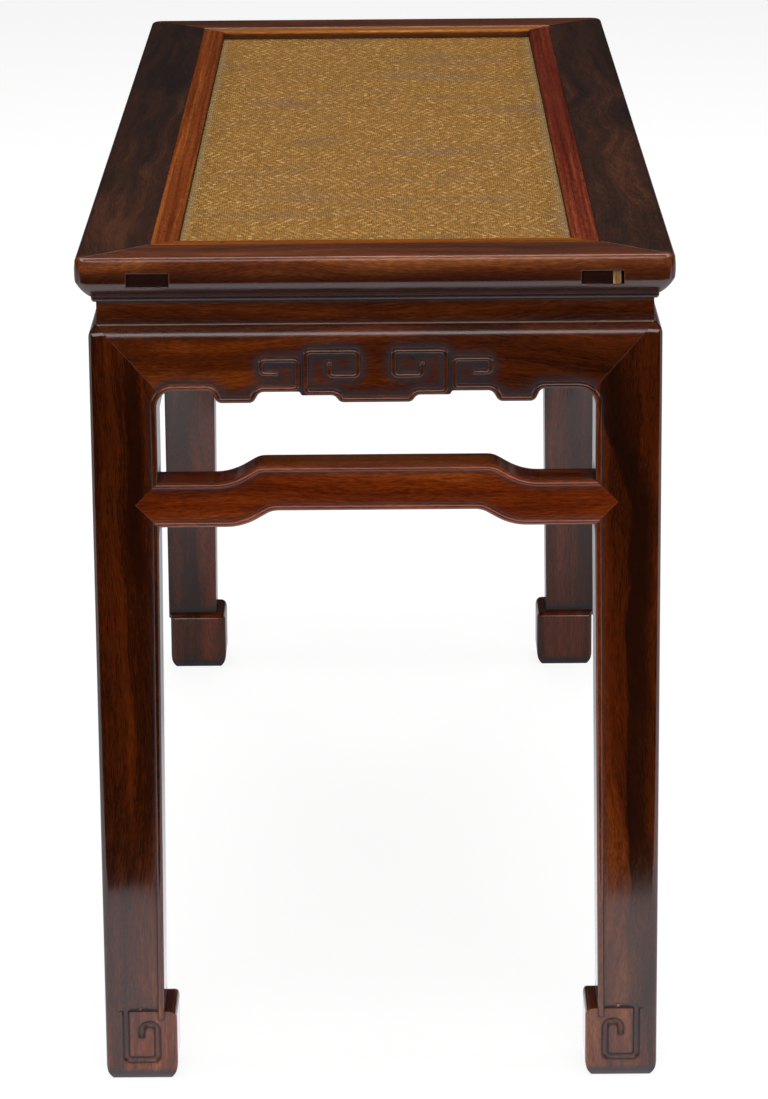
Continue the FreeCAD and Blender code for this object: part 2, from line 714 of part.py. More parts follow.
def leg_foot():
    toe = V(0, FOOT_TOE_WIDE, FOOT_TOE_TALL)
    wide = FOOT_WIDE
    ledge = FOOT_LEDGE_ROUND
    toe_middle = arc_middle(FOOT_TOE_WIDE, FOOT_TOE_TALL)
    outer_toe = V(0, toe_middle.y, toe.z - toe_middle.z)
    inner_toe = V(0, wide - outer_toe.y, outer_toe.z)
    ledge_middle = V(0, wide - ledge * (1 - diagonal), FOOT_TALL - ledge * (1 - diagonal))
    edges = [
        arc(V(0, 0, toe.z), outer_toe, V(0, toe.y, 0)),
        line(V(0, toe.y, 0), V(0, wide - toe.y, 0)),
        arc(V(0, wide - toe.y, 0), inner_toe, V(0, wide, toe.z)),
        line(V(0, wide, toe.z), V(0, wide, FOOT_TALL - ledge)),
        arc(V(0, wide, FOOT_TALL - ledge), ledge_middle, V(0, wide - ledge, FOOT_TALL)),
        line(V(0, wide - ledge, FOOT_TALL), V(0, 0, FOOT_TALL)),
        line(V(0, 0, FOOT_TALL), V(0, 0, toe.z)),
    ]
    return squared(edges, wide, 0, FOOT_TALL)


def arch_corner():
    """The leg's share of the arch under the apron, on the front face."""
    half_clear = half_width - LEG_FACE
    middle = arch_middle(half_clear)
    head = mitre_head(half_width)
    turn = math.pi / 8
    through = face_point(half_clear, apron_under)
    through += V(-ARCH_ROUND + ARCH_ROUND * math.cos(turn), 0, -ARCH_ROUND + ARCH_ROUND * math.sin(turn))
    foot = face_point(half_clear, apron_under - ARCH_ROUND)
    inside = (middle + head) / 2
    edges = [arc(foot, through, middle)] + chain([middle, inside, V(inside.x, 0, foot.z), foot])
    corner = prism(edges, V(0, APRON_THICK, 0))
    corner.translate(V(0, -half_length, 0))
    return corner


def leg_bead():
    """Bead down the inner edge of the front face, following the taper to the ledge of the foot."""
    half_clear = half_width - LEG_FACE
    arch = face_point(half_clear + bead_line, apron_under + bead_line)
    points = [
        face_point(half_clear - 2 * ARCH_ROUND, arch.z),
        arch,
        face_point(arch.x, stretcher_under),
        face_point(arch.x + LEG_TAPER, FOOT_TALL - FOOT_LEDGE_ROUND),
    ]
    shape = bead(points, [ARCH_ROUND + bead_line, LEG_BEND_ROUND])
    shape.translate(V(0, -half_length, 0))
    return shape


def foot_scoop():
    """Hollow above the ledge of the foot, fading out upward and to the outer edge of the leg."""
    left = half_width - LEG_FACE + LEG_TAPER + BEAD_FROM_EDGE + BEAD_WIDE
    middle = (left + half_width - SPIRAL_FROM_EDGE) / 2
    radius = (FOOT_SCOOP_DEEP ** 2 + FOOT_SCOOP_TALL ** 2) / (2 * FOOT_SCOOP_DEEP)
    bowl = Part.makeSphere(radius, V(middle, FOOT_SCOOP_DEEP - radius, FOOT_TALL))
    beside_bead = block(left, half_width, 0, FOOT_SCOOP_DEEP, FOOT_TALL, FOOT_TALL + FOOT_SCOOP_TALL)
    shape = bowl.common(beside_bead)
    shape.translate(V(0, -half_length, 0))
    return shape


def foot_spiral():
    """Round-bottomed groove of the squared spiral on the front face of the foot."""
    outer = half_width - SPIRAL_FROM_EDGE
    inner = half_width - FOOT_WIDE + SPIRAL_LEFT_INSIDE
    top = FOOT_TALL - SPIRAL_BELOW_LEDGE
    curl = (outer + inner) / 2
    radius = (FOOT_GROOVE_WIDE ** 2 / 4 + FOOT_GROOVE_DEEP ** 2) / (2 * FOOT_GROOVE_DEEP)
    lift = FOOT_GROOVE_DEEP - radius
    points = [
        V(outer, lift, FOOT_TALL + radius),
        V(outer, lift, SPIRAL_OFF_FLOOR),
        V(inner, lift, SPIRAL_OFF_FLOOR),
        V(inner, lift, top),
        V(curl, lift, top),
        V(curl, lift, top - SPIRAL_END_LONG),
    ]
    bends = 2 * [FOOT_GROOVE_BEND * radius] + 2 * [SPIRAL_END_ROUND]
    path = Part.Wire(rounded_path(points, bends))
    ring = Part.Wire(Part.makeCircle(radius, points[0], points[1] - points[0]))
    groove = path.makePipeShell([ring], True, False).fuse(Part.makeSphere(radius, points[-1]))
    groove.translate(V(0, -half_length, 0))
    return groove


def leg_tenon_limits():
    """Long tenon into the long rail and short tenon into the short rail, in the stool's own X, Y and Z."""
    near = post_from_face + BEHIND_LAP
    far = LEG_FACE - BEHIND_LAP
    x_near = [half_width - near - LEG_TENON_WIDE, half_width - near]
    x_far = [half_width - far, half_width - far + LEG_TENON_WIDE]
    y_near = [-half_length + near, -half_length + near + LEG_TENON_WIDE]
    y_far = [-half_length + far - LEG_TENON_WIDE, -half_length + far]
    long_top = rebate_floor - LEG_TENON_ROOF
    short_top = rail_tenon_under - LEG_TENON_ROOF / 2
    return [x_near + y_far + [frame_under, long_top], x_far + y_near + [frame_under, short_top]]


def leg_post():
    size = LEG_FACE - post_from_face
    corner = V(half_width - LEG_FACE, -half_length + post_from_face, waist_foot)
    return Part.makeBox(size, size, frame_under - waist_foot, corner)


def leg_blank():
    """A leg with its beads and carved foot, before the joints are cut."""
    additions = [leg_foot(), leg_post(), arch_corner(), swap_faces(arch_corner())]
    additions += [leg_bead(), swap_faces(leg_bead())]
    additions += [block(*limits) for limits in leg_tenon_limits()]
    carving = [foot_scoop(), foot_spiral()]
    carving += [swap_faces(tool) for tool in carving]
    return leg_shaft().fuse(additions).removeSplitter().cut(carving)


def in_corner(shape, leg):
    """A shape of the front right corner moved to another leg's corner."""
    mirror_x, mirror_y, _ = LEGS[leg]
    if mirror_x:
        shape = shape.mirror(V(0, 0, 0), V(1, 0, 0))
    if mirror_y:
        shape = shape.mirror(V(0, 0, 0), V(0, 1, 0))
    return shape


def leg_joints(side):
    """What one side's apron and stretcher take out of its legs."""
    _, _, half_span = SIDES[side]
    half_clear = half_span - LEG_FACE
    tools = [lap_room(apron_outline(half_span, half_clear)), lap_room(stretcher_outline(half_clear))]
    for limits in (apron_tenon_limits(half_clear), stretcher_tenon_limits(half_clear)):
        tools += both_ends(block(*grown(limits)))
    return [place_side(tool, side) for tool in tools]


# Assembly

parts = {}
half_frame = {side: SIDES[side][2] + LEG_INSET for side in SIDES}
leg_mortises = [in_corner(block(*grown(limits)), leg) for leg in LEGS for limits in leg_tenon_limits()]
brace_places = {"front": -BRACE_FROM_MIDDLE, "back": BRACE_FROM_MIDDLE}
brace_mortises = []
for place in brace_places.values():
    brace_mortises += both_ends(block(*grown(brace_tenon_limits(place))))

pins = []
pin_holes = []
for side, (_, _, half_span) in SIDES.items():
    count = PINS_PER_LONG_STRIP if side in LONG_SIDES else PINS_PER_SHORT_STRIP
    pins += [place_side(pin, side) for pin in make_pins(half_span, count, 0, pin_top)]
    pin_holes += [place_side(hole, side) for hole in make_pins(half_span, count, FIT, SEAT_HEIGHT)]

tenon_limits = rail_tenon_limits(half_frame["right"])
mouth_limits = tenon_limits[:1] + [half_frame["right"] + EDGE_UNDER] + tenon_limits[2:]
rail_mortises = []
for side in LONG_SIDES:
    rail_mortises += [place_side(hole, side) for hole in both_ends(block(*grown(mouth_limits)))]
wedge = place_side(make_wedge(tenon_limits).mirror(V(0, 0, 0), V(1, 0, 0)), "right")
wedge_gap = place_side(make_wedge_gap(tenon_limits).mirror(V(0, 0, 0), V(1, 0, 0)), "right")

for side, (_, _, half_span) in SIDES.items():
    half_clear = half_span - LEG_FACE
    rail = make_rail(half_frame[side])
    openings = rail_mortises
    if side in LONG_SIDES:
        rail = rail.fuse(both_ends(block(*tenon_limits))).removeSplitter()
        openings = brace_mortises + [wedge, wedge_gap]
    groove = place_side(waist_tongue(half_span, FIT), side)
    openings = openings + [groove] + leg_mortises + pin_holes
    parts["seat_rail_" + side] = place_side(rail, side).cut(openings)
    parts["press_strip_" + side] = place_side(make_strip(half_span), side).cut(pin_holes)
    parts["waist_" + side] = place_side(make_waist(half_span), side)
    parts["apron_" + side] = place_side(make_apron(half_span, half_clear), side)
    parts["stretcher_" + side] = place_side(make_stretcher(half_clear), side)

blank = leg_blank()
for leg, (_, _, sides) in LEGS.items():
    joints = leg_joints(sides[0]) + leg_joints(sides[1])
    parts["leg_" + leg] = in_corner(blank, leg).cut(joints)

for name, place in brace_places.items():
    parts["seat_brace_" + name] = make_brace(place)
parts["cane_mat"] = make_mat().cut(pin_holes)
parts["palm_web"] = make_web()
parts["strip_pins"] = Part.Compound(pins)
parts["tenon_wedge"] = wedge

os.makedirs("parts", exist_ok=True)
for name, shape in parts.items():
    shape.exportStep("parts/" + name + ".step")
    state = "valid" if shape.isValid() else "NOT VALID"
    print(name, len(shape.Solids), "solid(s)", state, round(shape.Volume), "cubic mm")
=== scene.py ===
# %% [markdown]
# # Dressing an oblong stool with a cane seat
#
# The stool is joined from dark hardwood without nails: a mitred seat frame, a narrow waist, carved aprons,
# humpback stretchers and legs that end in hoof feet. Its seat is a mat of split rattan on a net of palm-fibre
# cord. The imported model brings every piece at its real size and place, so nothing here is fitted by eye. This
# script adds what a solid cannot show: the polish, the grain, the weave and the light.

# %% Load the frame
import math

import bmesh
import bpy
from mathutils import Matrix, Vector, noise


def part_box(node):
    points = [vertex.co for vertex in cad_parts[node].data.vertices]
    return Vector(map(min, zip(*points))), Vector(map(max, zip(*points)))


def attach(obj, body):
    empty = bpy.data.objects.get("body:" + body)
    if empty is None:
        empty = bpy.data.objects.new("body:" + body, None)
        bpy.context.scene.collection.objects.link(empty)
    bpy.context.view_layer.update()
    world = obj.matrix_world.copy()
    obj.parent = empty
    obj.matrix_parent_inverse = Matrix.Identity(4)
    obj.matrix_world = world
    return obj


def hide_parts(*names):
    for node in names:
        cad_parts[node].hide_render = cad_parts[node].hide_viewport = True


MM = 0.001
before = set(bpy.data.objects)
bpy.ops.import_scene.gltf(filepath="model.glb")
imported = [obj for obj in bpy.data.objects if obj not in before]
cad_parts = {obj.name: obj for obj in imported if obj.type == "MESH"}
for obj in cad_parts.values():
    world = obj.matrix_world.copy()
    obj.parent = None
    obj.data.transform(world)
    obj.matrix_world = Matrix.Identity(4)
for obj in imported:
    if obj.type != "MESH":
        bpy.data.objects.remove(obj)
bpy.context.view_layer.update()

# %% [markdown]
# ## The camera
#
# The photograph looks along the stool from one short end, from well above the seat and from three metres
# away. A camera could be placed by eye and nudged. Here its place comes from the stool's own perspective, so
# that each edge of the model falls on the same edge of the photograph.

# %% Camera
PHOTO_TALL = 1099           # pixels, the long side of the frame
FOCAL_PIXELS = 4482.0       # distance from the lens to the picture, in its pixels
SENSOR = 36.0               # mm
LOOK_DOWN = math.radians(15.21)
LOOK_ASIDE = math.radians(-0.09)
LEAN = math.radians(-0.46)
EYE = Vector((8.0, -3005.0, 1025.8)) * MM

ahead = Vector((math.sin(LOOK_ASIDE), math.cos(LOOK_ASIDE), -math.tan(LOOK_DOWN))).normalized()
level = ahead.cross(Vector((0, 0, 1))).normalized()
upward = level.cross(ahead)
camera_right = level * math.cos(LEAN) + upward * math.sin(LEAN)
camera_up = upward * math.cos(LEAN) - level * math.sin(LEAN)

camera = bpy.data.objects.new("camera", bpy.data.cameras.new("camera"))
camera.data.sensor_width = SENSOR
camera.data.lens = FOCAL_PIXELS / PHOTO_TALL * SENSOR
turned = Matrix((camera_right, camera_up, -ahead)).transposed()
camera.matrix_world = Matrix.Translation(EYE) @ turned.to_4x4()
bpy.context.scene.collection.objects.link(camera)
bpy.context.scene.camera = camera
print("camera: lens", round(camera.data.lens, 1), "mm at", [round(c, 3) for c in EYE])

# %% [markdown]
# ## Colours and nodes
#
# Colours are written as sRGB hex, the way a colour picker shows them, and turned to linear light once. Every
# material below is a small node tree, so one function adds a node, sets it, links its inputs and gives back
# the output that the next node needs.

# %% Helpers for materials


def linear(hex_colour):
    """sRGB hex such as "#8a4b1c" as linear red, green, blue and alpha."""
    values = [int(hex_colour[i:i + 2], 16) / 255 for i in (1, 3, 5)]
    return [v / 12.92 if v <= 0.04045 else ((v + 0.055) / 1.055) ** 2.4 for v in values] + [1.0]


def add(tree, kind, links=None, out=0, **settings):
    """Add a node and return one of its outputs. links gives its inputs, each as a value or an output."""
    node = tree.nodes.new("ShaderNode" + kind)
    for key, value in settings.items():
        setattr(node, key, value)
    for key, value in (links or {}).items():
        if isinstance(value, bpy.types.NodeSocket):
            tree.links.new(value, node.inputs[key])
        else:
            node.inputs[key].default_value = value
    return node.outputs[out] if node.outputs else None


def new_tree(owner):
    """An empty node tree of a material or the world."""
    owner.use_nodes = True
    owner.node_tree.nodes.clear()
    return owner.node_tree


def set_stops(colour, stops):
    """Give the colour ramp behind an output its stops, as (place, hex colour)."""
    elements = colour.node.color_ramp.elements
    while len(elements) < len(stops):
        elements.new(1.0)
    for element, (place, hex_colour) in zip(elements, stops):
        element.position = place
        element.color = linear(hex_colour)


print("mid grey #808080 is", round(linear("#808080")[0], 3), "in linear light")

# %% [markdown]
# ## White paper and a dim room
#
# The photograph was taken on white paper in a dim room. The polish gives that away: the feet mirror the
# paper, and a hand above them the mirrored edge of the paper ends and the wood turns dark. So the paper is a
# real sheet that ends in front of the stool. What the camera sees past it is white, without more light on the
# stool. The polish mirrors the room itself, which is dark near the floor and paler towards the ceiling.

# %% Paper sheet
PAPER_FRONT = -0.796        # m, the edge in front of the stool
PAPER_BACK = 6.0
PAPER_SIDE = 3.0

paper_mesh = bpy.data.meshes.new("paper")
edit = bmesh.new()
bmesh.ops.create_grid(edit, x_segments=1, y_segments=1, size=0.5)
bmesh.ops.scale(edit, vec=(2 * PAPER_SIDE, PAPER_BACK - PAPER_FRONT, 1), verts=edit.verts)
bmesh.ops.translate(edit, vec=(0, (PAPER_BACK + PAPER_FRONT) / 2, 0), verts=edit.verts)
edit.to_mesh(paper_mesh)
edit.free()
paper = bpy.data.objects.new("paper", paper_mesh)
bpy.context.scene.collection.objects.link(paper)
print("paper from", PAPER_FRONT, "to", PAPER_BACK, "m")

# %% Paper material
# Matt paper. To the camera it is white with a faint shadow. In the polish it glows with painted light under
# the near end of the stool, and painted shadow makes it darker under the far end.
SHADOW_KEPT = 0.25          # share of the paper's own shading that is seen
PRINTED = 1.13              # the paper was printed a little over white
PAINTED_GLOW_NEAR = 2.0        # painted light: in the polish the paper glows brighter than the white of the print,
PAINTED_SHADOW_FAR = 0.5         # and painted shadow makes it darker under the far end of the stool
LIT_FRONT, LIT_BACK = -0.55, 0.3    # m, places between which the one turns to the other
PAPER_COLOUR = "#f4f4f4"
MIRRORED_COLOUR = "#ece9ee"
WHITE = (1, 1, 1, 1)

paper_white = bpy.data.materials.new("matt white paper")
tree = new_tree(paper_white)
camera_ray = add(tree, "LightPath", out="Is Camera Ray")
glossy_ray = camera_ray.node.outputs["Is Glossy Ray"]
through_ray = camera_ray.node.outputs["Is Transmission Ray"]
mirrored = add(tree, "Math", {0: glossy_ray, 1: through_ray}, operation="MAXIMUM")
seen = add(tree, "Math", {0: camera_ray, 1: mirrored}, operation="MAXIMUM")
share = add(tree, "Math", {0: seen, 1: 1 - SHADOW_KEPT}, operation="MULTIPLY")
depth = add(tree, "SeparateXYZ", {0: add(tree, "TexCoord", out="Object")}, out="Y")
# Painted light and shadow on the paper, as the polish sees it, by distance along the stool.
lit = add(tree, "MapRange", {0: depth, 1: LIT_FRONT, 2: LIT_BACK, 3: PAINTED_GLOW_NEAR, 4: PAINTED_SHADOW_FAR})
strength = add(tree, "Mix", {0: glossy_ray, 2: PRINTED, 3: lit})
shaded = add(tree, "BsdfDiffuse", {"Color": linear(PAPER_COLOUR)})
tint = add(tree, "Mix", {0: glossy_ray, 6: WHITE, 7: linear(MIRRORED_COLOUR)}, out=2, data_type="RGBA")
white = add(tree, "Emission", {"Color": tint, "Strength": strength})
add(tree, "OutputMaterial", {"Surface": add(tree, "MixShader", {0: share, 1: shaded, 2: white})})
paper_mesh.materials.append(paper_white)
print("paper material:", len(tree.nodes), "nodes")

# %% Room
ROOM_SHADES = [(0.48, "#161616"), (0.62, "#303030"), (0.76, "#464646"), (1.0, "#707070")]   # floor to ceiling

room = bpy.data.worlds.new("dim room")
bpy.context.scene.world = room
tree = new_tree(room)
camera_ray = add(tree, "LightPath", out="Is Camera Ray")
through_ray = camera_ray.node.outputs["Is Transmission Ray"]
seen = add(tree, "Math", {0: camera_ray, 1: through_ray}, operation="MAXIMUM")
height = add(tree, "SeparateXYZ", {0: add(tree, "TexCoord", out="Generated")}, out="Z")
light_and_shade = add(tree, "ValToRGB", {0: add(tree, "MapRange", {0: height, 1: -1.0, 2: 1.0})})
set_stops(light_and_shade, ROOM_SHADES)
surround = add(tree, "Background", {"Color": light_and_shade})
white = add(tree, "Background", {"Color": WHITE})
add(tree, "OutputWorld", {"Surface": add(tree, "MixShader", {0: seen, 1: surround, 2: white})})
print("room:", room.name)

# %% [markdown]
# ## Soft lamps
#
# The light that shows the colour of the wood comes from six large lamps behind polarising sheets, as
# photographers do with polished wood: they aren't mirrored, so they are hidden from glossy rays. A second set
# of lamps is there to be mirrored and does nothing else. A large soft box behind the camera draws the broad
# bright line on the shoulder of the aprons, and one at each side does the same for the long sides. Seen from
# the other side, the flat tops of the seat frame would mirror these low boxes as white glare. A photographer
# keeps them off the seat with flags, and light linking does that here: only the pieces under the seat mirror
# the boxes. The thin line along the edge of the seat frame comes from strip lamps high up.

# %% A lamp
under_seat = bpy.data.collections.new("mirrors the soft boxes")
seat_edge = bpy.data.collections.new("mirrors the strip lamps")


def lamp(name, place, aim, size, brightness, mirrored_by=None):
    """A flat lamp with an even face. With mirrored_by it is only seen in the polish of those pieces."""
    face = bpy.data.lights.new(name, "AREA")
    face.shape = "RECTANGLE"
    face.size, face.size_y = size
    face.energy = brightness * math.pi * size[0] * size[1]
    holder = bpy.data.objects.new(name, face)
    holder.location = place
    holder.rotation_mode = "QUATERNION"
    holder.rotation_quaternion = (Vector(aim) - Vector(place)).to_track_quat("-Z", "Y")
    holder.visible_glossy = mirrored_by is not None
    holder.visible_diffuse = mirrored_by is None
    holder.light_linking.receiver_collection = mirrored_by
    bpy.context.scene.collection.objects.link(holder)
    print(name, round(face.energy, 1), "W")


# %% Lamps that light the wood
# Place, the point it looks at and the size of its face are in metres, before the brightness.
lamp("camera_light", (0.0, -3.4, 1.36), (0, -0.4, 0.45), (3.0, 1.0), 4.8)
lamp("front_light", (0.3, -3.2, 1.6), (0, -0.4, 0.3), (2.4, 1.4), 2.0)
lamp("top_light", (0.0, -0.7, 2.4), (0, -0.2, 0.4), (1.6, 1.6), 2.9)
lamp("left_light", (-3.2, 0.0, 1.5), (0, 0, 0.4), (2.6, 1.2), 3.6)
lamp("right_light", (3.2, 0.0, 1.5), (0, 0, 0.4), (2.6, 1.2), 3.6)
lamp("back_light", (0.0, 2.6, 2.6), (0, 0.3, 0.3), (2.6, 1.2), 4.5)

# %% Lamps that are mirrored
# They stand a little in front of the lamps that light the wood, because two lamps in one plane hide each
# other.
STRIP_HIGH = 2.5
STRIP_AIM = (0.1, 0.2, 0.5)     # share of the strip's own place across and along, and a height in metres
STRIP_FACE = (2.4, 0.4)
STRIP_BRIGHT = 9.0

lamp("soft_box", (0.0, -3.3, 1.34), (0, -0.4, 0.45), (2.9, 1.0), 4.4, under_seat)
lamp("left_box", (-3.1, 0.0, 1.46), (0, 0, 0.4), (2.5, 1.15), 3.6, under_seat)
lamp("right_box", (3.1, 0.0, 1.46), (0, 0, 0.4), (2.5, 1.15), 3.6, under_seat)
for side, (x, y) in {"front": (0, -1.9), "right": (1.6, 0), "back": (0, 1.9), "left": (-1.6, 0)}.items():
    aim = (STRIP_AIM[0] * x, STRIP_AIM[1] * y, STRIP_AIM[2])
    lamp("strip_lamp_" + side, (x, y, STRIP_HIGH), aim, STRIP_FACE, STRIP_BRIGHT, seat_edge)
bpy.context.scene.view_settings.view_transform = "Standard"

# %% [markdown]
# ## The wood
#
# A dense tropical hardwood of the rosewood kind, scraped, rubbed and waxed over many years. It gives the eye
# six things: broad dark and red-brown figure that wanders along the board, fine fibres, short dark pores,
# edges that hands have rubbed lighter, grey wax and painted shade in the corners, and a polish that mirrors
# the room. An image of wood would repeat and would not follow the boards, so the figure is noise that is
# stretched along the grain. Each piece carries a number, its board, so that no two pieces share a figure.

# %% Grain
WANDER = (140.0, 15.0)      # mm, length and width of the slow bends of the grain
STREAK = (18.0, 520.0)      # mm across and along the grain
BAND = (5.0, 220.0)
FIBRE = (0.8, 18.0)         # coarser than the real fibres, so that it shows
PORE = (0.6, 5.0)           # coarser than the real pores, so that it shows


def grain_noise(tree, place, board, along, size, detail):
    """Noise stretched along the grain. size is its width and length in millimetres."""
    wide, long = size
    scale = [1 / (long * MM) if axis == along else 1 / (wide * MM) for axis in "XYZ"]
    stretched = add(tree, "Mapping", {"Vector": place, "Scale": scale})
    return add(tree, "TexNoise", {"Vector": stretched, "W": board, "Scale": 1.0, "Detail": detail},
               noise_dimensions="4D")


print("grain:", STREAK, BAND, FIBRE, "mm")

# %% Wax and painted shade in the carving of the feet
# Old wax and dust, and painted shade in the grooves, make the ground of the carving dark, grey and dull.
BEAD_PROUD = 1.6 * MM       # how far a bead stands out from the face behind it
END_FACE = -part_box("apron_front")[0][1] - BEAD_PROUD    # face of the short aprons
SIDE_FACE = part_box("apron_right")[1][0] - BEAD_PROUD    # face of the long aprons
FOOT_HIGH = 40.0 * MM
FOOT_FADE = 2.0 * MM
SPIRAL_NEAR = 6.0 * MM      # the spiral lies between these distances from the corner of the leg,
SPIRAL_FAR = 39.0 * MM
SPIRAL_LOW = 7.0 * MM       # above this height,
SPIRAL_FADE = 3.0 * MM      # and the wax fades out over this distance
WAX_AND_SHADE_REACH = 3.0 * MM        # how far from an edge of the carving the wax and painted shade lie
PLAIN_EASE = 0.5 * MM       # radius of the worn edges of a leg
SPIRAL_EASE = 2.2 * MM      # and of its carving


def foot_wax_and_shade(tree, place):
    """Wax and painted shade beside the spiral of a foot, and the radius to which its edges are worn."""
    away = add(tree, "SeparateXYZ", {0: add(tree, "VectorMath", {0: place}, operation="ABSOLUTE")}, out="X")
    height = away.node.outputs["Z"]
    far = add(tree, "Math", {0: away, 1: away.node.outputs["Y"]}, operation="ADD")
    from_corner = add(tree, "Math", {0: END_FACE + SIDE_FACE, 1: far}, operation="SUBTRACT")
    inside = add(tree, "MapRange", {0: from_corner, 1: SPIRAL_NEAR, 2: SPIRAL_NEAR + SPIRAL_FADE})
    short = add(tree, "MapRange", {0: from_corner, 1: SPIRAL_FAR - SPIRAL_FADE, 2: SPIRAL_FAR,
                                   3: 1.0, 4: 0.0})
    low = add(tree, "MapRange", {0: height, 1: FOOT_HIGH, 2: FOOT_HIGH + FOOT_FADE, 3: 1.0, 4: 0.0})
    lifted = add(tree, "MapRange", {0: height, 1: SPIRAL_LOW, 2: SPIRAL_LOW + SPIRAL_FADE})
    sideways = add(tree, "Math", {0: inside, 1: short}, operation="MULTIPLY")
    upright = add(tree, "Math", {0: low, 1: lifted}, operation="MULTIPLY")
    carved = add(tree, "Math", {0: sideways, 1: upright}, operation="MULTIPLY")
    radius = add(tree, "MapRange", {0: carved, 3: PLAIN_EASE, 4: SPIRAL_EASE})
    worn = add(tree, "Bevel", {"Radius": WAX_AND_SHADE_REACH}, samples=6)
    turn = add(tree, "VectorMath", {0: worn, 1: add(tree, "NewGeometry", out="Normal")}, out="Value",
               operation="DOT_PRODUCT")
    near = add(tree, "MapRange", {0: turn, 1: 0.995, 2: 0.88, 3: 0.0, 4: 0.9})
    return add(tree, "Math", {0: near, 1: carved}, operation="MULTIPLY"), radius


print("carving wax on the faces at", round(END_FACE, 4), "and", round(SIDE_FACE, 4), "m")

# %% The dark heart of one leg
HEART_WAVE = (80.0, 15.0)   # mm, length and width of the waves of its border
HEART_TURN = (360.0, 410.0)     # mm, heights between which it crosses the leg
HEART_LOW = 27.0            # mm, distance of its border from the outer face below that,
HEART_HIGH = 43.0           # and above it
HEART_EDGE = (-0.7, 1.3)    # mm past the border: where the stripe begins,
HEART_FADE = (10.0, 19.0)   # and where it fades
HEART_FOOT = (40.0, 120.0)  # mm, heights over which it fades towards the foot


def dark_heart(tree, place):
    """The near-black stripe down one leg. It starts near the inner edge and wavers down the outer half."""
    across = add(tree, "SeparateXYZ", {0: place}, out="X")
    height = across.node.outputs["Z"]
    wave = add(tree, "TexNoise", {"W": height, "Scale": 1 / (HEART_WAVE[0] * MM), "Detail": 2.0},
               noise_dimensions="1D")
    lean = add(tree, "MapRange", {0: height, 1: HEART_TURN[0] * MM, 2: HEART_TURN[1] * MM,
                                  3: SIDE_FACE - HEART_LOW * MM, 4: SIDE_FACE - HEART_HIGH * MM})
    border = add(tree, "Math", {0: wave, 1: HEART_WAVE[1] * MM, 2: lean}, operation="MULTIPLY_ADD")
    past = add(tree, "Math", {0: across, 1: border}, operation="SUBTRACT")
    begun = add(tree, "MapRange", {0: past, 1: HEART_EDGE[0] * MM, 2: HEART_EDGE[1] * MM, 3: 0.0, 4: 0.85})
    ended = add(tree, "MapRange", {0: past, 1: HEART_FADE[0] * MM, 2: HEART_FADE[1] * MM, 3: 1.0, 4: 0.35})
    risen = add(tree, "MapRange", {0: height, 1: HEART_FOOT[0] * MM, 2: HEART_FOOT[1] * MM, 3: 0.3, 4: 1.0})
    stripe = add(tree, "Math", {0: begun, 1: ended}, operation="MULTIPLY")
    return add(tree, "Math", {0: stripe, 1: risen}, operation="MULTIPLY")


print("dark heart", HEART_LOW, "to", HEART_HIGH, "mm from the outer face")

# %% Where rails and aprons change
RAIL_SHADE_FROM = 508.0 * MM      # painted shade on the moulded edge of the seat frame starts below this height,
RAIL_SHADE_FULL = 497.0 * MM      # and is at its darkest below this one
RAIL_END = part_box("seat_rail_right")[1][1]
CORNER_BROWN = (14.0, 4.0)  # mm from the end of a long rail, where it turns as brown as the short rails
SHOULDER = (456.0, 462.0)   # mm, heights over which the face of an apron turns into its sloping top
APRON_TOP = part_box("apron_front")[1][2]
LIP = (0.8, 0.4)            # mm under the top of an apron


def rail_corner(tree, place):
    """The ends of the long rails, as brown as the short rails that they meet."""
    away = add(tree, "Math", {0: add(tree, "SeparateXYZ", {0: place}, out="Y")}, operation="ABSOLUTE")
    return add(tree, "MapRange", {0: away, 1: RAIL_END - CORNER_BROWN[0] * MM,
                                  2: RAIL_END - CORNER_BROWN[1] * MM, 3: 0.0, 4: 0.75})


def rail_shade(tree, place):
    """Painted shade on the moulded edge of the seat frame, darker lower down, where it turns under."""
    height = add(tree, "SeparateXYZ", {0: place}, out="Z")
    return add(tree, "MapRange", {0: height, 1: RAIL_SHADE_FROM, 2: RAIL_SHADE_FULL, 3: 0.0, 4: 0.8})


def shoulder(tree, place):
    """The sloping top of the aprons, which hands have rubbed to a satin."""
    height = add(tree, "SeparateXYZ", {0: place}, out="Z")
    return add(tree, "MapRange", {0: height, 1: SHOULDER[0] * MM, 2: SHOULDER[1] * MM})


def lip_highlight(tree, place):
    """A thin painted highlight along the top edge of the aprons, where they meet the waist."""
    height = add(tree, "SeparateXYZ", {0: place}, out="Z")
    return add(tree, "MapRange", {0: height, 1: APRON_TOP - LIP[0] * MM, 2: APRON_TOP - LIP[1] * MM,
                                  3: 0.0, 4: 0.9})


print("aprons end at", round(APRON_TOP, 4), "m, long rails at", round(RAIL_END, 4), "m")

# %% The clean board
MOST_NOISE = (0.3, 0.7)     # most values of a noise lie between these
BAND_SHARE = 0.35           # what bands and fibres add to the streaks,
FIBRE_SHARE = 0.3
TONE_SHIFT = -0.325         # and what brings the middle of the three back to a half
PAINTED_LIGHT_FROM = 190.0 * MM     # painted light makes the near legs lighter below this height,
PAINTED_LIGHT_FULL = 70.0 * MM      # down to this one,
HOOF_PAINTED_LIGHT = 1.5             # and the hoof lighter still
HOOF_FADE = 12.0 * MM


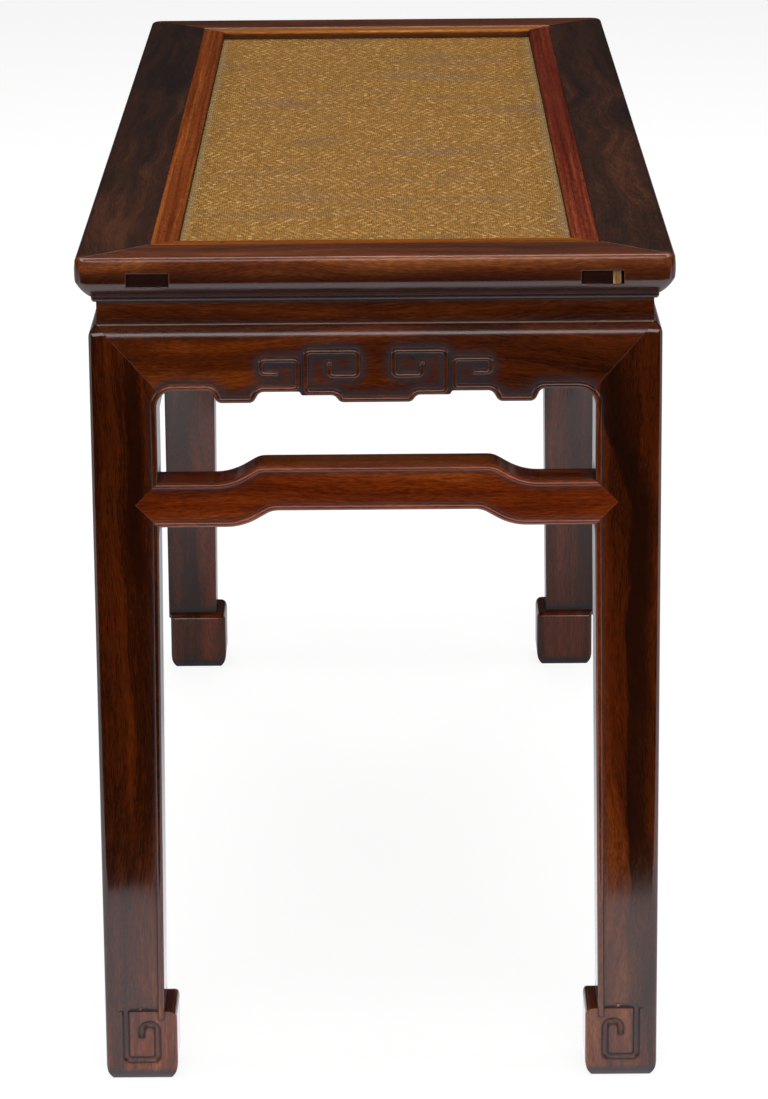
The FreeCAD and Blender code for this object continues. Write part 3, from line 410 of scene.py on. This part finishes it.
def clean_board(tree, place, along, stops, calm=1.0, fine=1.0, foot_stops=None, heart=None):
    """Colour of a board and the noise of its fibres. calm scales the bends, fine the width of the figure."""
    board = add(tree, "Attribute", out="Fac", attribute_name="board")
    bend = add(tree, "TexNoise", {"Vector": place, "W": board, "Scale": 1 / (WANDER[0] * MM), "Detail": 1.0},
               out="Color", noise_dimensions="4D")
    bent = add(tree, "VectorMath", {0: bend, 1: [WANDER[1] * calm * MM * 2] * 3, 2: place},
               operation="MULTIPLY_ADD")
    streak = grain_noise(tree, bent, board, along, (STREAK[0] * fine, STREAK[1]), 2.0)
    band = grain_noise(tree, bent, board, along, (BAND[0] * fine, BAND[1]), 2.0)
    fibre = grain_noise(tree, bent, board, along, FIBRE, 2.0)
    pore = grain_noise(tree, bent, board, along, PORE, 1.0)
    tone = add(tree, "Math", {0: streak, 1: TONE_SHIFT}, operation="ADD")
    tone = add(tree, "Math", {0: band, 1: BAND_SHARE, 2: tone}, operation="MULTIPLY_ADD")
    tone = add(tree, "Math", {0: fibre, 1: FIBRE_SHARE, 2: tone}, operation="MULTIPLY_ADD")
    figure = add(tree, "ValToRGB", {0: tone})
    set_stops(figure, stops)
    # Painted light: the near legs, out in the light, turn lighter towards the floor and the hoof lighter still.
    # The far legs, in the shade under the seat, keep their brown.
    if foot_stops:
        height = add(tree, "SeparateXYZ", {0: place}, out="Z")
        pale = add(tree, "ValToRGB", {0: tone})
        set_stops(pale, foot_stops)
        low = add(tree, "MapRange", {0: height, 1: PAINTED_LIGHT_FROM, 2: PAINTED_LIGHT_FULL})
        figure = add(tree, "Mix", {0: low, 6: figure, 7: pale}, out=2, data_type="RGBA")
        hoof_light = add(tree, "MapRange", {0: height, 1: FOOT_HIGH + HOOF_FADE, 2: FOOT_HIGH,
                                      3: 1.0, 4: HOOF_PAINTED_LIGHT})
        figure = add(tree, "VectorMath", {0: figure, "Scale": hoof_light}, operation="SCALE")
    if heart:
        where, colour = heart
        figure = add(tree, "Mix", {0: where(tree, place), 6: figure, 7: linear(colour)}, out=2,
                     data_type="RGBA")
    fleck = add(tree, "MapRange", {0: pore, 1: MOST_NOISE[0], 2: MOST_NOISE[1], 3: 1.3, 4: 0.6})
    return add(tree, "VectorMath", {0: figure, "Scale": fleck}, operation="SCALE"), fibre


print("near legs turn lighter below", PAINTED_LIGHT_FROM, "m")

# %% Wear, wax and painted shade
END_GRAIN = 0.8             # how far the ends of a board take one plain dark brown
RUBBED = 0.35               # how far rubbed edges take the lightest brown
RECESS = 8.0 * MM           # wax and painted shade lie where other wood is nearer than this
WAX_AND_SHADE_MOST = 0.9


def worn_waxed_and_shaded(tree, place, clean, along, stops, eased, carved, light_and_shade, wax_and_shade, wax_and_shade_opening):
    """Colour of an old board, and how much wax and painted shade lie on it. The last argument is how open a
    recess may be to take them.
    """
    normal = add(tree, "NewGeometry", out="Normal")
    facing = add(tree, "Math", {0: add(tree, "SeparateXYZ", {0: normal}, out=along)}, operation="ABSOLUTE")
    end_grain = add(tree, "MapRange", {0: facing, 1: 0.7, 2: 0.95, 3: 0.0, 4: END_GRAIN})
    ended = add(tree, "Mix", {0: end_grain, 6: clean, 7: linear(stops[1][1])}, out=2, data_type="RGBA")
    # Painted shade on the lower moulding of the rails, and a painted highlight along the top edge of the aprons.
    if light_and_shade:
        where, colour = light_and_shade
        ended = add(tree, "Mix", {0: where(tree, place), 6: ended, 7: linear(colour)}, out=2,
                    data_type="RGBA")
    turn = add(tree, "VectorMath", {0: eased, 1: normal}, out="Value", operation="DOT_PRODUCT")
    rubbed = add(tree, "MapRange", {0: turn, 1: 0.97, 2: 0.80, 3: 0.0, 4: RUBBED})
    worn = add(tree, "Mix", {0: rubbed, 6: ended, 7: linear(stops[-1][1])}, out=2, data_type="RGBA")
    # Wax and painted shade: the wood turns towards the wax colour where ambient occlusion finds other wood near,
    # as under the lip of the seat frame, beside the beads and round the tenon ends. Faces that turn upwards take
    # less of it and stay lighter.
    recess = add(tree, "AmbientOcclusion", {"Distance": RECESS}, out="AO", samples=16)
    upward = add(tree, "SeparateXYZ", {0: normal}, out="Z")
    upward_opening = add(tree, "MapRange", {0: upward, 1: 0.3, 2: 0.7, 3: wax_and_shade_opening, 4: 0.3})
    wax_and_shade_share = add(tree, "MapRange", {0: recess, 1: 0.985, 2: upward_opening, 3: 0.0, 4: WAX_AND_SHADE_MOST})
    side_grain = add(tree, "Math", {0: 1.0, 1: end_grain}, operation="SUBTRACT")
    wax_and_shade_share = add(tree, "Math", {0: wax_and_shade_share, 1: side_grain}, operation="MULTIPLY")
    if carved:
        wax_and_shade_share = add(tree, "Math", {0: wax_and_shade_share, 1: carved}, operation="MAXIMUM")
    return add(tree, "Mix", {0: wax_and_shade_share, 6: worn, 7: linear(wax_and_shade)}, out=2, data_type="RGBA"), wax_and_shade_share


print("wax stays within", RECESS, "m of a corner")

# %% The whole wood, with its polish
RIPPLE = 45.0 * MM          # length of the waves that the scraper left
RELIEF = 0.35 * MM          # and their height
FIBRE_RELIEF = 0.03         # share of it that a fibre has


# The wax colour of a wood is also its painted shade in corners and recesses.
def wood(name, along, stops, roughness=0.14, ior=1.52, wax_and_shade="#2a2226", wax_and_shade_opening=0.72, dulled=0.3, ease=0.5,
         carving=None, light_and_shade=None, satin=None, **board):
    """Polished wood with its grain along one axis. Painted light and shade, satin and heart each pair a place
    with a value there.
    """
    material = bpy.data.materials.new(name)
    tree = new_tree(material)
    place = add(tree, "TexCoord", out="Object")
    clean, fibre = clean_board(tree, place, along, stops, **board)
    carved, radius = carving(tree, place) if carving else (None, ease * MM)
    eased = add(tree, "Bevel", {"Radius": radius}, samples=4)
    colour, wax_and_shade_share = worn_waxed_and_shaded(tree, place, clean, along, stops, eased, carved, light_and_shade, wax_and_shade, wax_and_shade_opening)
    ripple = add(tree, "TexNoise", {"Vector": place, "Scale": 1 / RIPPLE, "Detail": 1.0})
    relief = add(tree, "Math", {0: fibre, 1: FIBRE_RELIEF, 2: ripple}, operation="MULTIPLY_ADD")
    bump = add(tree, "Bump", {"Height": relief, "Normal": eased, "Strength": 1.0, "Distance": RELIEF})
    gloss = add(tree, "MapRange", {0: fibre, 1: MOST_NOISE[0], 2: MOST_NOISE[1],
                                   3: roughness - 0.03, 4: roughness + 0.04})
    dull = add(tree, "Math", {0: wax_and_shade_share, 1: dulled, 2: gloss}, operation="MULTIPLY_ADD")
    if satin:
        where, more = satin
        dull = add(tree, "Math", {0: where(tree, place), 1: more, 2: dull}, operation="MULTIPLY_ADD")
    shader = add(tree, "BsdfPrincipled", {"Base Color": colour, "Roughness": dull, "Normal": bump,
                                          "IOR": ior})
    add(tree, "OutputMaterial", {"Surface": shader})
    return material


print("scraper waves", RIPPLE, "m long")

# %% Wood of the legs
LEG_BROWN = [(0.34, "#260c02"), (0.46, "#361303"), (0.54, "#461a05"), (0.70, "#5e2608")]
HEART_BROWN = [(0.34, "#361304"), (0.46, "#4e1d05"), (0.54, "#5e2507"), (0.70, "#78350c")]
# The near legs take these lighter browns towards the floor as painted light.
LIT_FOOT_BROWN = [(0.34, "#321307"), (0.46, "#4c1f0b"), (0.54, "#602b0f"), (0.70, "#84481a")]
LIT_SOLE_BROWN = [(0.34, "#2d1207"), (0.46, "#3f1b0b"), (0.54, "#4d230e"), (0.70, "#663618")]
# The legs' wax colour is also painted shade, in their corners and in the spiral of the feet.
LEG = {"wax_and_shade": "#1c191f", "carving": foot_wax_and_shade, "roughness": 0.10}

far_leg = wood("waxed hardwood of the far legs", "Z", LEG_BROWN, **LEG)
leg_wood = {
    "front_left": wood("waxed hardwood of the near legs", "Z", LEG_BROWN, foot_stops=LIT_FOOT_BROWN, **LEG),
    "front_right": wood("waxed hardwood with dark heart", "Z", HEART_BROWN, foot_stops=LIT_SOLE_BROWN,
                        heart=(dark_heart, "#1c0b04"), **LEG),
    "back_left": far_leg,
    "back_right": far_leg,
}
print("leg wood:", sorted({m.name for m in leg_wood.values()}))

# %% Wood of the aprons, waist, stretchers and seat frame
# Each has one wood for the short ends, with its grain across the stool, and one for the long sides.
APRON_BROWN = [(0.32, "#2a0e02"), (0.45, "#441903"), (0.57, "#552105"), (0.70, "#74340c")]
WAIST_BROWN = [(0.32, "#260c02"), (0.45, "#3e1702"), (0.57, "#4d1e04"), (0.70, "#6a2f0a")]
BAR_BROWN = [(0.32, "#421504"), (0.45, "#642407"), (0.57, "#78300b"), (0.70, "#964a18")]
LONG_BROWN = [(0.32, "#1e0e08"), (0.45, "#31180c"), (0.57, "#3f2012"), (0.70, "#5a311b")]
END_BROWN = [(0.32, "#421f11"), (0.45, "#602d15"), (0.57, "#72391b"), (0.70, "#8e5028")]
# The aprons take a painted highlight in #9c7868 along their top edge, and wax and painted shade in #322d30 in
# their carving.
APRON = {"roughness": 0.16, "wax_and_shade_opening": 0.95, "dulled": 0.08, "wax_and_shade": "#322d30", "satin": (shoulder, 0.05),
         "light_and_shade": (lip_highlight, "#9c7868")}
# The seat rails take painted shade in #220d0a, darker towards the bottom of their moulded edge.
RAIL = {"light_and_shade": (rail_shade, "#220d0a"), "ease": 1.6}

# The waist turns near-black #160a05 as wax and painted shade, under the overhang of the seat frame.
woods = {
    "apron": [wood("waxed hardwood of the aprons, " + a, a, APRON_BROWN, **APRON) for a in "XY"],
    "waist": [wood("waxed hardwood of the waist, " + a, a, WAIST_BROWN, wax_and_shade="#160a05") for a in "XY"],
    "stretcher": [wood("waxed hardwood of the stretchers, " + a, a, BAR_BROWN) for a in "XY"],
    "seat_rail": [wood("waxed hardwood of the short rails", "X", END_BROWN, **RAIL),
                  wood("waxed hardwood of the long rails", "Y", LONG_BROWN, heart=(rail_corner, "#6b3514"),
                       **RAIL)],
}
print("other wood:", sum(len(pair) for pair in woods.values()), "materials")

# %% [markdown]
# ## Press strips, pins and wedge
#
# The strips that hold the mat down are a plainer, straight-grained wood under a thin oil, redder on one side
# of the stool than on the other. The far strip, which faces the lamps in front, is painted lighter and more
# golden, as painted light. They could share one wood, but the seat would lose that. So each side has its own
# colours and all share one finish. The one wedge is bare pale wood, hardly polished at all.

# %% Strip and pin wood
ORANGE = [(0.32, "#5c2408"), (0.45, "#70320d"), (0.57, "#803c12"), (0.70, "#98521e")]
RED = [(0.32, "#3a1008"), (0.45, "#5c1f0f"), (0.57, "#6b2815"), (0.70, "#863e20")]
NEAR = [(0.32, "#5e2c0a"), (0.45, "#80420f"), (0.57, "#8f4c12"), (0.70, "#a8642a")]
# The far strip faces the lamps in front: its lighter, golden browns are painted light.
LIT_GOLDEN = [(0.32, "#743c14"), (0.45, "#98561e"), (0.57, "#ac6728"), (0.70, "#c88844")]
PALE = [(0.32, "#5a3a20"), (0.45, "#966c40"), (0.57, "#b98f60"), (0.70, "#d4b083")]
# The wax colours of the strips and of the wedge are also painted shade in their corners.
OILED = {"roughness": 0.42, "wax_and_shade": "#2e1a10", "calm": 0.12, "fine": 0.2, "ior": 1.25}
strip_wood = {
    "left": wood("oiled orange-brown strip wood", "Y", ORANGE, **OILED),
    "right": wood("oiled red-brown strip wood", "Y", RED, **OILED),
    "front": wood("oiled orange strip wood", "X", NEAR, **OILED),
    "back": wood("oiled golden strip wood", "X", LIT_GOLDEN, **OILED),
}
pale_wood = wood("bare pale wood", "Z", PALE, roughness=0.55, wax_and_shade="#6a4c30", fine=0.25, ior=1.35)
print("strip wood:", sorted(m.name for m in strip_wood.values()))

# %% [markdown]
# ## Smooth copies of the joined pieces
#
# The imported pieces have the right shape, but each is a bag of loose triangles. A copy of each piece is
# welded, so that its seams are closed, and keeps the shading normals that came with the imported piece: they are
# round where the wood was rounded and break where it was cut. Blender's own smoothing would smear the flat
# faces round the mortises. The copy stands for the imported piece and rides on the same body.

# %% A smooth copy
WELD = 0.001 * MM           # corners nearer than this are one


def smooth_copy(node_name, material, board):
    """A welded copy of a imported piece, with its wood and the number of its board."""
    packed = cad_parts[node_name].data
    mesh = packed.copy()
    edit = bmesh.new()
    edit.from_mesh(mesh)
    packed_face = edit.faces.layers.int.new("packed_face")
    for face in edit.faces:
        face[packed_face] = face.index
    bmesh.ops.remove_doubles(edit, verts=edit.verts, dist=WELD)
    edit.to_mesh(mesh)
    edit.free()
    mesh.materials.clear()
    mesh.materials.append(material)
    mesh.polygons.foreach_set("material_index", [0] * len(mesh.polygons))
    mesh.shade_smooth()
    normals = []
    for face in mesh.attributes["packed_face"].data:
        corners = packed.polygons[face.value].loop_indices
        normals += [packed.corner_normals[corner].vector for corner in corners]
    mesh.normals_split_custom_set(normals)
    mesh.attributes.remove(mesh.attributes["packed_face"])
    boards = mesh.attributes.new("board", "FLOAT", "POINT")
    boards.data.foreach_set("value", [board] * len(mesh.vertices))
    piece = bpy.data.objects.new(node_name + "_dressed", mesh)
    bpy.context.scene.collection.objects.link(piece)
    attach(piece, "root")
    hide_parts(node_name)
    return piece


print("corners nearer than", WELD, "m are welded")

# %% Smooth copies of all wooden pieces
# The numbers of the boards only have to differ, so each kind of piece starts from its own.
SIDES = ("front", "right", "back", "left")
LEGS = ("front_right", "front_left", "back_right", "back_left")
SIDE_STEP, KIND_STEP, LEG_STEP = 1.7, 7.3, 3.3
STRIP_BOARD, LEG_BOARD, BRACE_BOARD, PIN_BOARD, WEDGE_BOARD = 33.0, 45.0, 60.0, 70.0, 71.0

pieces = {}
for number, side in enumerate(SIDES):
    is_long = side in ("left", "right")
    for order, (name, pair) in enumerate(woods.items()):
        node = name + "_" + side
        pieces[node] = smooth_copy(node, pair[is_long], SIDE_STEP * number + KIND_STEP * order)
    strip = "press_strip_" + side
    pieces[strip] = smooth_copy(strip, strip_wood[side], SIDE_STEP * number + STRIP_BOARD)
for number, leg in enumerate(LEGS):
    node = "leg_" + leg
    pieces[node] = smooth_copy(node, leg_wood[leg], LEG_BOARD + LEG_STEP * number)
for number, end in enumerate(("front", "back")):
    node = "seat_brace_" + end
    pieces[node] = smooth_copy(node, woods["waist"][0], BRACE_BOARD + number)
pieces["strip_pins"] = smooth_copy("strip_pins", strip_wood["right"], PIN_BOARD)
pieces["tenon_wedge"] = smooth_copy("tenon_wedge", pale_wood, WEDGE_BOARD)
print("dressed:", len(pieces), "pieces,", sum(len(p.data.polygons) for p in pieces.values()), "faces")

# %% [markdown]
# ## The cane mat
#
# The seat is a mat of rattan skin, split into strands about as wide as a grain of rice and woven in a twill
# that turns to and fro. Strands as meshes would be tens of thousands of crossings. The mat is therefore one
# thin sheet, with the slight waves of a stretched mat, and its material works out for each point which strand
# lies on top, how far across that strand the point is, and which stretch of strand it belongs to.

# %% Mat sheet
MAT_WAVE = 0.35             # mm, unevenness of the stretched mat
WAVE_LONG = 70.0            # mm
WAVE_EDGE = 12.0            # mm from the press strips over which the waves die out
MAT_CELL = 8.0              # mm, mesh of the sheet

mat_low, mat_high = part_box("cane_mat")
mat_wide = mat_high[0] - mat_low[0]
mat_long = mat_high[1] - mat_low[1]
strip_low, strip_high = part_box("press_strip_right")
open_half = mat_wide / 2 - (strip_high[0] - strip_low[0])
open_half_long = mat_long / 2 - (mat_wide / 2 - open_half)
mat_mesh = bpy.data.meshes.new("cane_mat_woven")
edit = bmesh.new()
bmesh.ops.create_grid(edit, x_segments=round(mat_wide / MAT_CELL / MM),
                      y_segments=round(mat_long / MAT_CELL / MM), size=0.5)
bmesh.ops.scale(edit, vec=(mat_wide, mat_long, 1), verts=edit.verts)
bmesh.ops.translate(edit, vec=(0, 0, mat_high[2]), verts=edit.verts)
for vertex in edit.verts:
    room_left = min(open_half - abs(vertex.co.x), open_half_long - abs(vertex.co.y)) / (WAVE_EDGE * MM)
    wave = noise.noise(vertex.co / (WAVE_LONG * MM))
    vertex.co.z += MAT_WAVE * MM * wave * max(0.0, min(1.0, room_left))
edit.to_mesh(mat_mesh)
edit.free()
mat_mesh.shade_smooth()
mat = bpy.data.objects.new("cane_mat_woven", mat_mesh)
bpy.context.scene.collection.objects.link(mat)
thickness = mat.modifiers.new("strand thickness", "SOLIDIFY")
thickness.thickness = mat_high[2] - mat_low[2]
thickness.offset = -1
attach(mat, "root")
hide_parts("cane_mat")
print("mat:", round(mat_wide, 3), "by", round(mat_long, 3), "m, open half width", round(open_half, 4))

# %% Weave of the rattan
STRAND_ACROSS = 1.4         # mm, width of the strands that run along the seat
STRAND_ALONG = 3.2          # mm, width of those that run across it, coarser than real, so that it shows
TWILL = 4.0                 # a strand goes over two and under two
TWILL_TURNS = 9             # strands after which the twill changes direction
SWAY_LONG = 26.0            # mm, the strands are not quite straight:
SWAY = (4.0, 5.0)           # mm, by how much they stray across and along
FIRST_STRAND = (400, 800, 0)    # keeps the strands' numbers above zero
ROUND = 0.5                 # power that rounds the section of a strand
UNDER_HIGH = 0.6            # height of the strands that run along the seat, in those of the others

cane = bpy.data.materials.new("woven split rattan")
tree = new_tree(cane)
place = add(tree, "TexCoord", out="Object")
sway = add(tree, "TexNoise", {"Vector": place, "Scale": 1 / (SWAY_LONG * MM), "Detail": 2.0}, out="Color")
swayed = add(tree, "VectorMath", {0: sway, 1: (SWAY[0] * MM, SWAY[1] * MM, 0), 2: place},
             operation="MULTIPLY_ADD")
strands = add(tree, "Mapping", {"Vector": swayed, "Location": FIRST_STRAND,
                                "Scale": (1 / (STRAND_ACROSS * MM), 1 / (STRAND_ALONG * MM), 1)})
across = add(tree, "SeparateXYZ", {0: strands}, out="X")
along = across.node.outputs["Y"]
column = add(tree, "Math", {0: across}, operation="FLOOR")
row = add(tree, "Math", {0: along}, operation="FLOOR")
zigzag = add(tree, "Math", {0: row, 1: TWILL_TURNS}, operation="PINGPONG")
shifted = add(tree, "Math", {0: across, 1: zigzag}, operation="ADD")
turn = add(tree, "Math", {0: shifted, 1: TWILL}, operation="MODULO")
on_top = add(tree, "Math", {0: turn, 1: TWILL / 2}, operation="LESS_THAN")
stretch = add(tree, "Math", {0: turn, 1: 2 * math.pi / TWILL}, operation="MULTIPLY")
arch = add(tree, "Math", {0: add(tree, "Math", {0: stretch}, operation="SINE"), 1: 0.6, 2: 0.4},
           operation="MULTIPLY_ADD")
over_side = add(tree, "Math", {0: add(tree, "Math", {0: along, 1: 2.0}, operation="MULTIPLY"), 1: 1.0},
                operation="PINGPONG")
under_side = add(tree, "Math", {0: add(tree, "Math", {0: across, 1: 2.0}, operation="MULTIPLY"), 1: 1.0},
                 operation="PINGPONG")
over_high = add(tree, "Math", {0: add(tree, "Math", {0: over_side, 1: ROUND}, operation="POWER"), 1: arch},
                operation="MULTIPLY")
under_high = add(tree, "Math", {0: add(tree, "Math", {0: under_side, 1: ROUND}, operation="POWER"),
                                1: UNDER_HIGH}, operation="MULTIPLY")
high = add(tree, "Mix", {0: on_top, 2: under_high, 3: over_high})
print("weave:", round(mat_wide / STRAND_ACROSS / MM), "by", round(mat_long / STRAND_ALONG / MM), "strands")

# %% Colour and sheen of the rattan
# Rattan skin is hard and a little shiny, golden, with each stretch of strand in a tone of its own. Use has
# left brown stains on the mat, and dust along its long edges.
SKIN = [(0.0, "#8e6635"), (0.3, "#a0743b"), (0.7, "#b08346"), (0.9, "#bd9052"), (1.0, "#d0a76c")]
UNDER_TONE = 0.55           # the strands along the seat use the darker part of these tones
# Painted shade where the strands dip between their neighbours.
GAP_SHADE = "#4e3210"
STAIN = "#7a6150"
STAIN_LONG = 75.0           # mm
DUST = "#a08c68"
DUST_FROM, DUST_FULL = 6.0, 1.0     # mm from the press strips

over_place = add(tree, "Math", {0: add(tree, "Math", {0: shifted, 1: TWILL}, operation="DIVIDE")},
                 operation="FLOOR")
under_place = add(tree, "Math", {0: add(tree, "Math", {0: along, 1: TWILL / 2}, operation="DIVIDE")},
                  operation="FLOOR")
over_tone = add(tree, "TexWhiteNoise", {0: add(tree, "CombineXYZ", {0: over_place, 1: row})},
                noise_dimensions="2D")
under_tone = add(tree, "TexWhiteNoise", {0: add(tree, "CombineXYZ", {0: column, 1: under_place})},
                 noise_dimensions="2D")
darker = add(tree, "Math", {0: under_tone, 1: UNDER_TONE}, operation="MULTIPLY")
skin = add(tree, "ValToRGB", {0: add(tree, "Mix", {0: on_top, 2: darker, 3: over_tone})})
set_stops(skin, SKIN)
# Painted shade: where a strand dips between its neighbours, it turns dark.
gap_shade = add(tree, "MapRange", {0: high, 1: 0.1, 2: 0.55, 3: 0.55, 4: 0.0})
gap_shaded = add(tree, "Mix", {0: gap_shade, 6: skin, 7: linear(GAP_SHADE)}, out=2, data_type="RGBA")
stain = add(tree, "TexNoise", {"Vector": add(tree, "Mapping", {"Vector": place, "Scale": (1, 1.6, 1)}),
                               "Scale": 1 / (STAIN_LONG * MM), "Detail": 3.0})
stained = add(tree, "MapRange", {0: stain, 1: 0.54, 2: 0.74, 3: 0.0, 4: 0.5})
mottled = add(tree, "Mix", {0: stained, 6: gap_shaded, 7: linear(STAIN)}, out=2, data_type="RGBA")
from_middle = add(tree, "Math", {0: add(tree, "SeparateXYZ", {0: place}, out="X")}, operation="ABSOLUTE")
dusty = add(tree, "MapRange", {0: from_middle, 1: open_half - DUST_FROM * MM, 2: open_half - DUST_FULL * MM,
                               3: 0.0, 4: 0.5})
dusted = add(tree, "Mix", {0: dusty, 6: mottled, 7: linear(DUST)}, out=2, data_type="RGBA")
bump = add(tree, "Bump", {"Height": high, "Strength": 1.0, "Distance": 0.5 * MM})
shader = add(tree, "BsdfPrincipled", {"Base Color": dusted, "Roughness": 0.5, "Normal": bump, "IOR": 1.5,
                                      "Specular IOR Level": 0.12})
add(tree, "OutputMaterial", {"Surface": shader})
mat_mesh.materials.append(cane)
print("rattan:", len(tree.nodes), "nodes")

# %% [markdown]
# ## The palm-fibre net
#
# Under the mat, cords of palm fibre are drawn through the rails on the slant and pass over and under each
# other. They carry the sitter, and only show from below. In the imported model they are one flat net. Here each
# cord is a curve of its own that rises and falls at the crossings, given a round section.

# %% Cords
CORD_THICK = 2.6            # mm
GAPS_ACROSS = 6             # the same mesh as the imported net
GAPS_ALONG = 21
web_low, web_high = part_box("palm_web")
step_across = (web_high[0] - web_low[0]) / GAPS_ACROSS
step_along = (web_high[1] - web_low[1]) / GAPS_ALONG
web_height = web_high[2] - CORD_THICK * MM
net = bpy.data.curves.new("palm_web_corded", "CURVE")
net.dimensions = "3D"
net.bevel_depth = CORD_THICK * MM / 2
net.bevel_resolution = 2
net.resolution_u = 3


def net_cord(start_column, start_row, turn):
    """Add one cord that runs on the slant from edge to edge, half a cell at a time."""
    points = []
    column, row = start_column, start_row
    while 0 <= column <= 2 * GAPS_ACROSS and 0 <= row <= 2 * GAPS_ALONG:
        rise = CORD_THICK * MM / 2 * turn * (-1) ** ((column + row) // 2 + row)
        points.append((web_low[0] + column * step_across / 2, web_low[1] + row * step_along / 2,
                       web_height + rise, 1.0))
        column += turn
        row += 1
    if len(points) < 3:
        return
    spline = net.splines.new("NURBS")
    spline.points.add(len(points) - 1)
    for point, place in zip(spline.points, points):
        point.co = place
    spline.order_u = 3
    spline.use_endpoint_u = True


for column in range(0, 2 * GAPS_ACROSS, 2):
    net_cord(column, 0, 1)
    net_cord(column + 2, 0, -1)
for row in range(2, 2 * GAPS_ALONG, 2):
    net_cord(0, row, 1)
    net_cord(2 * GAPS_ACROSS, row, -1)
print("net:", len(net.splines), "cords")

# %% Palm fibre
# Twisted palm fibre is brown, matt and hairy.
HAIR = 1.4                  # mm, coarser than real, so that it shows
HAIR_HIGH = 0.5             # mm
HAIR_BROWN = [(0.3, "#3a2614"), (0.5, "#6a4a2a"), (0.7, "#94724a")]

fibre = bpy.data.materials.new("twisted palm fibre")
tree = new_tree(fibre)
place = add(tree, "TexCoord", out="Object")
hair = add(tree, "TexNoise", {"Vector": place, "Scale": 1 / (HAIR * MM), "Detail": 3.0, "Distortion": 1.5})
tint = add(tree, "ValToRGB", {0: hair})
set_stops(tint, HAIR_BROWN)
bump = add(tree, "Bump", {"Height": hair, "Strength": 1.0, "Distance": HAIR_HIGH * MM})
shader = add(tree, "BsdfPrincipled", {"Base Color": tint, "Roughness": 0.85, "Normal": bump})
add(tree, "OutputMaterial", {"Surface": shader})
net.materials.append(fibre)
web = bpy.data.objects.new("palm_web_corded", net)
bpy.context.scene.collection.objects.link(web)
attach(web, "root")
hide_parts("palm_web")
print("palm fibre on", web.name)

# %% [markdown]
# ## Sharing out the mirrored lamps
#
# Every piece is now there, so each can be told which lamps it mirrors: the four rails mirror the strip lamps,
# and all the polished wood under the seat mirrors the soft boxes. The mat, the net, the press strips, the
# pins and the wedge are too dull for either.

# %% Link the lamps to the pieces
for node, piece in pieces.items():
    if node.startswith("seat_rail"):
        seat_edge.objects.link(piece)
    elif not node.startswith(("press_strip", "strip_pins", "tenon_wedge")):
        under_seat.objects.link(piece)
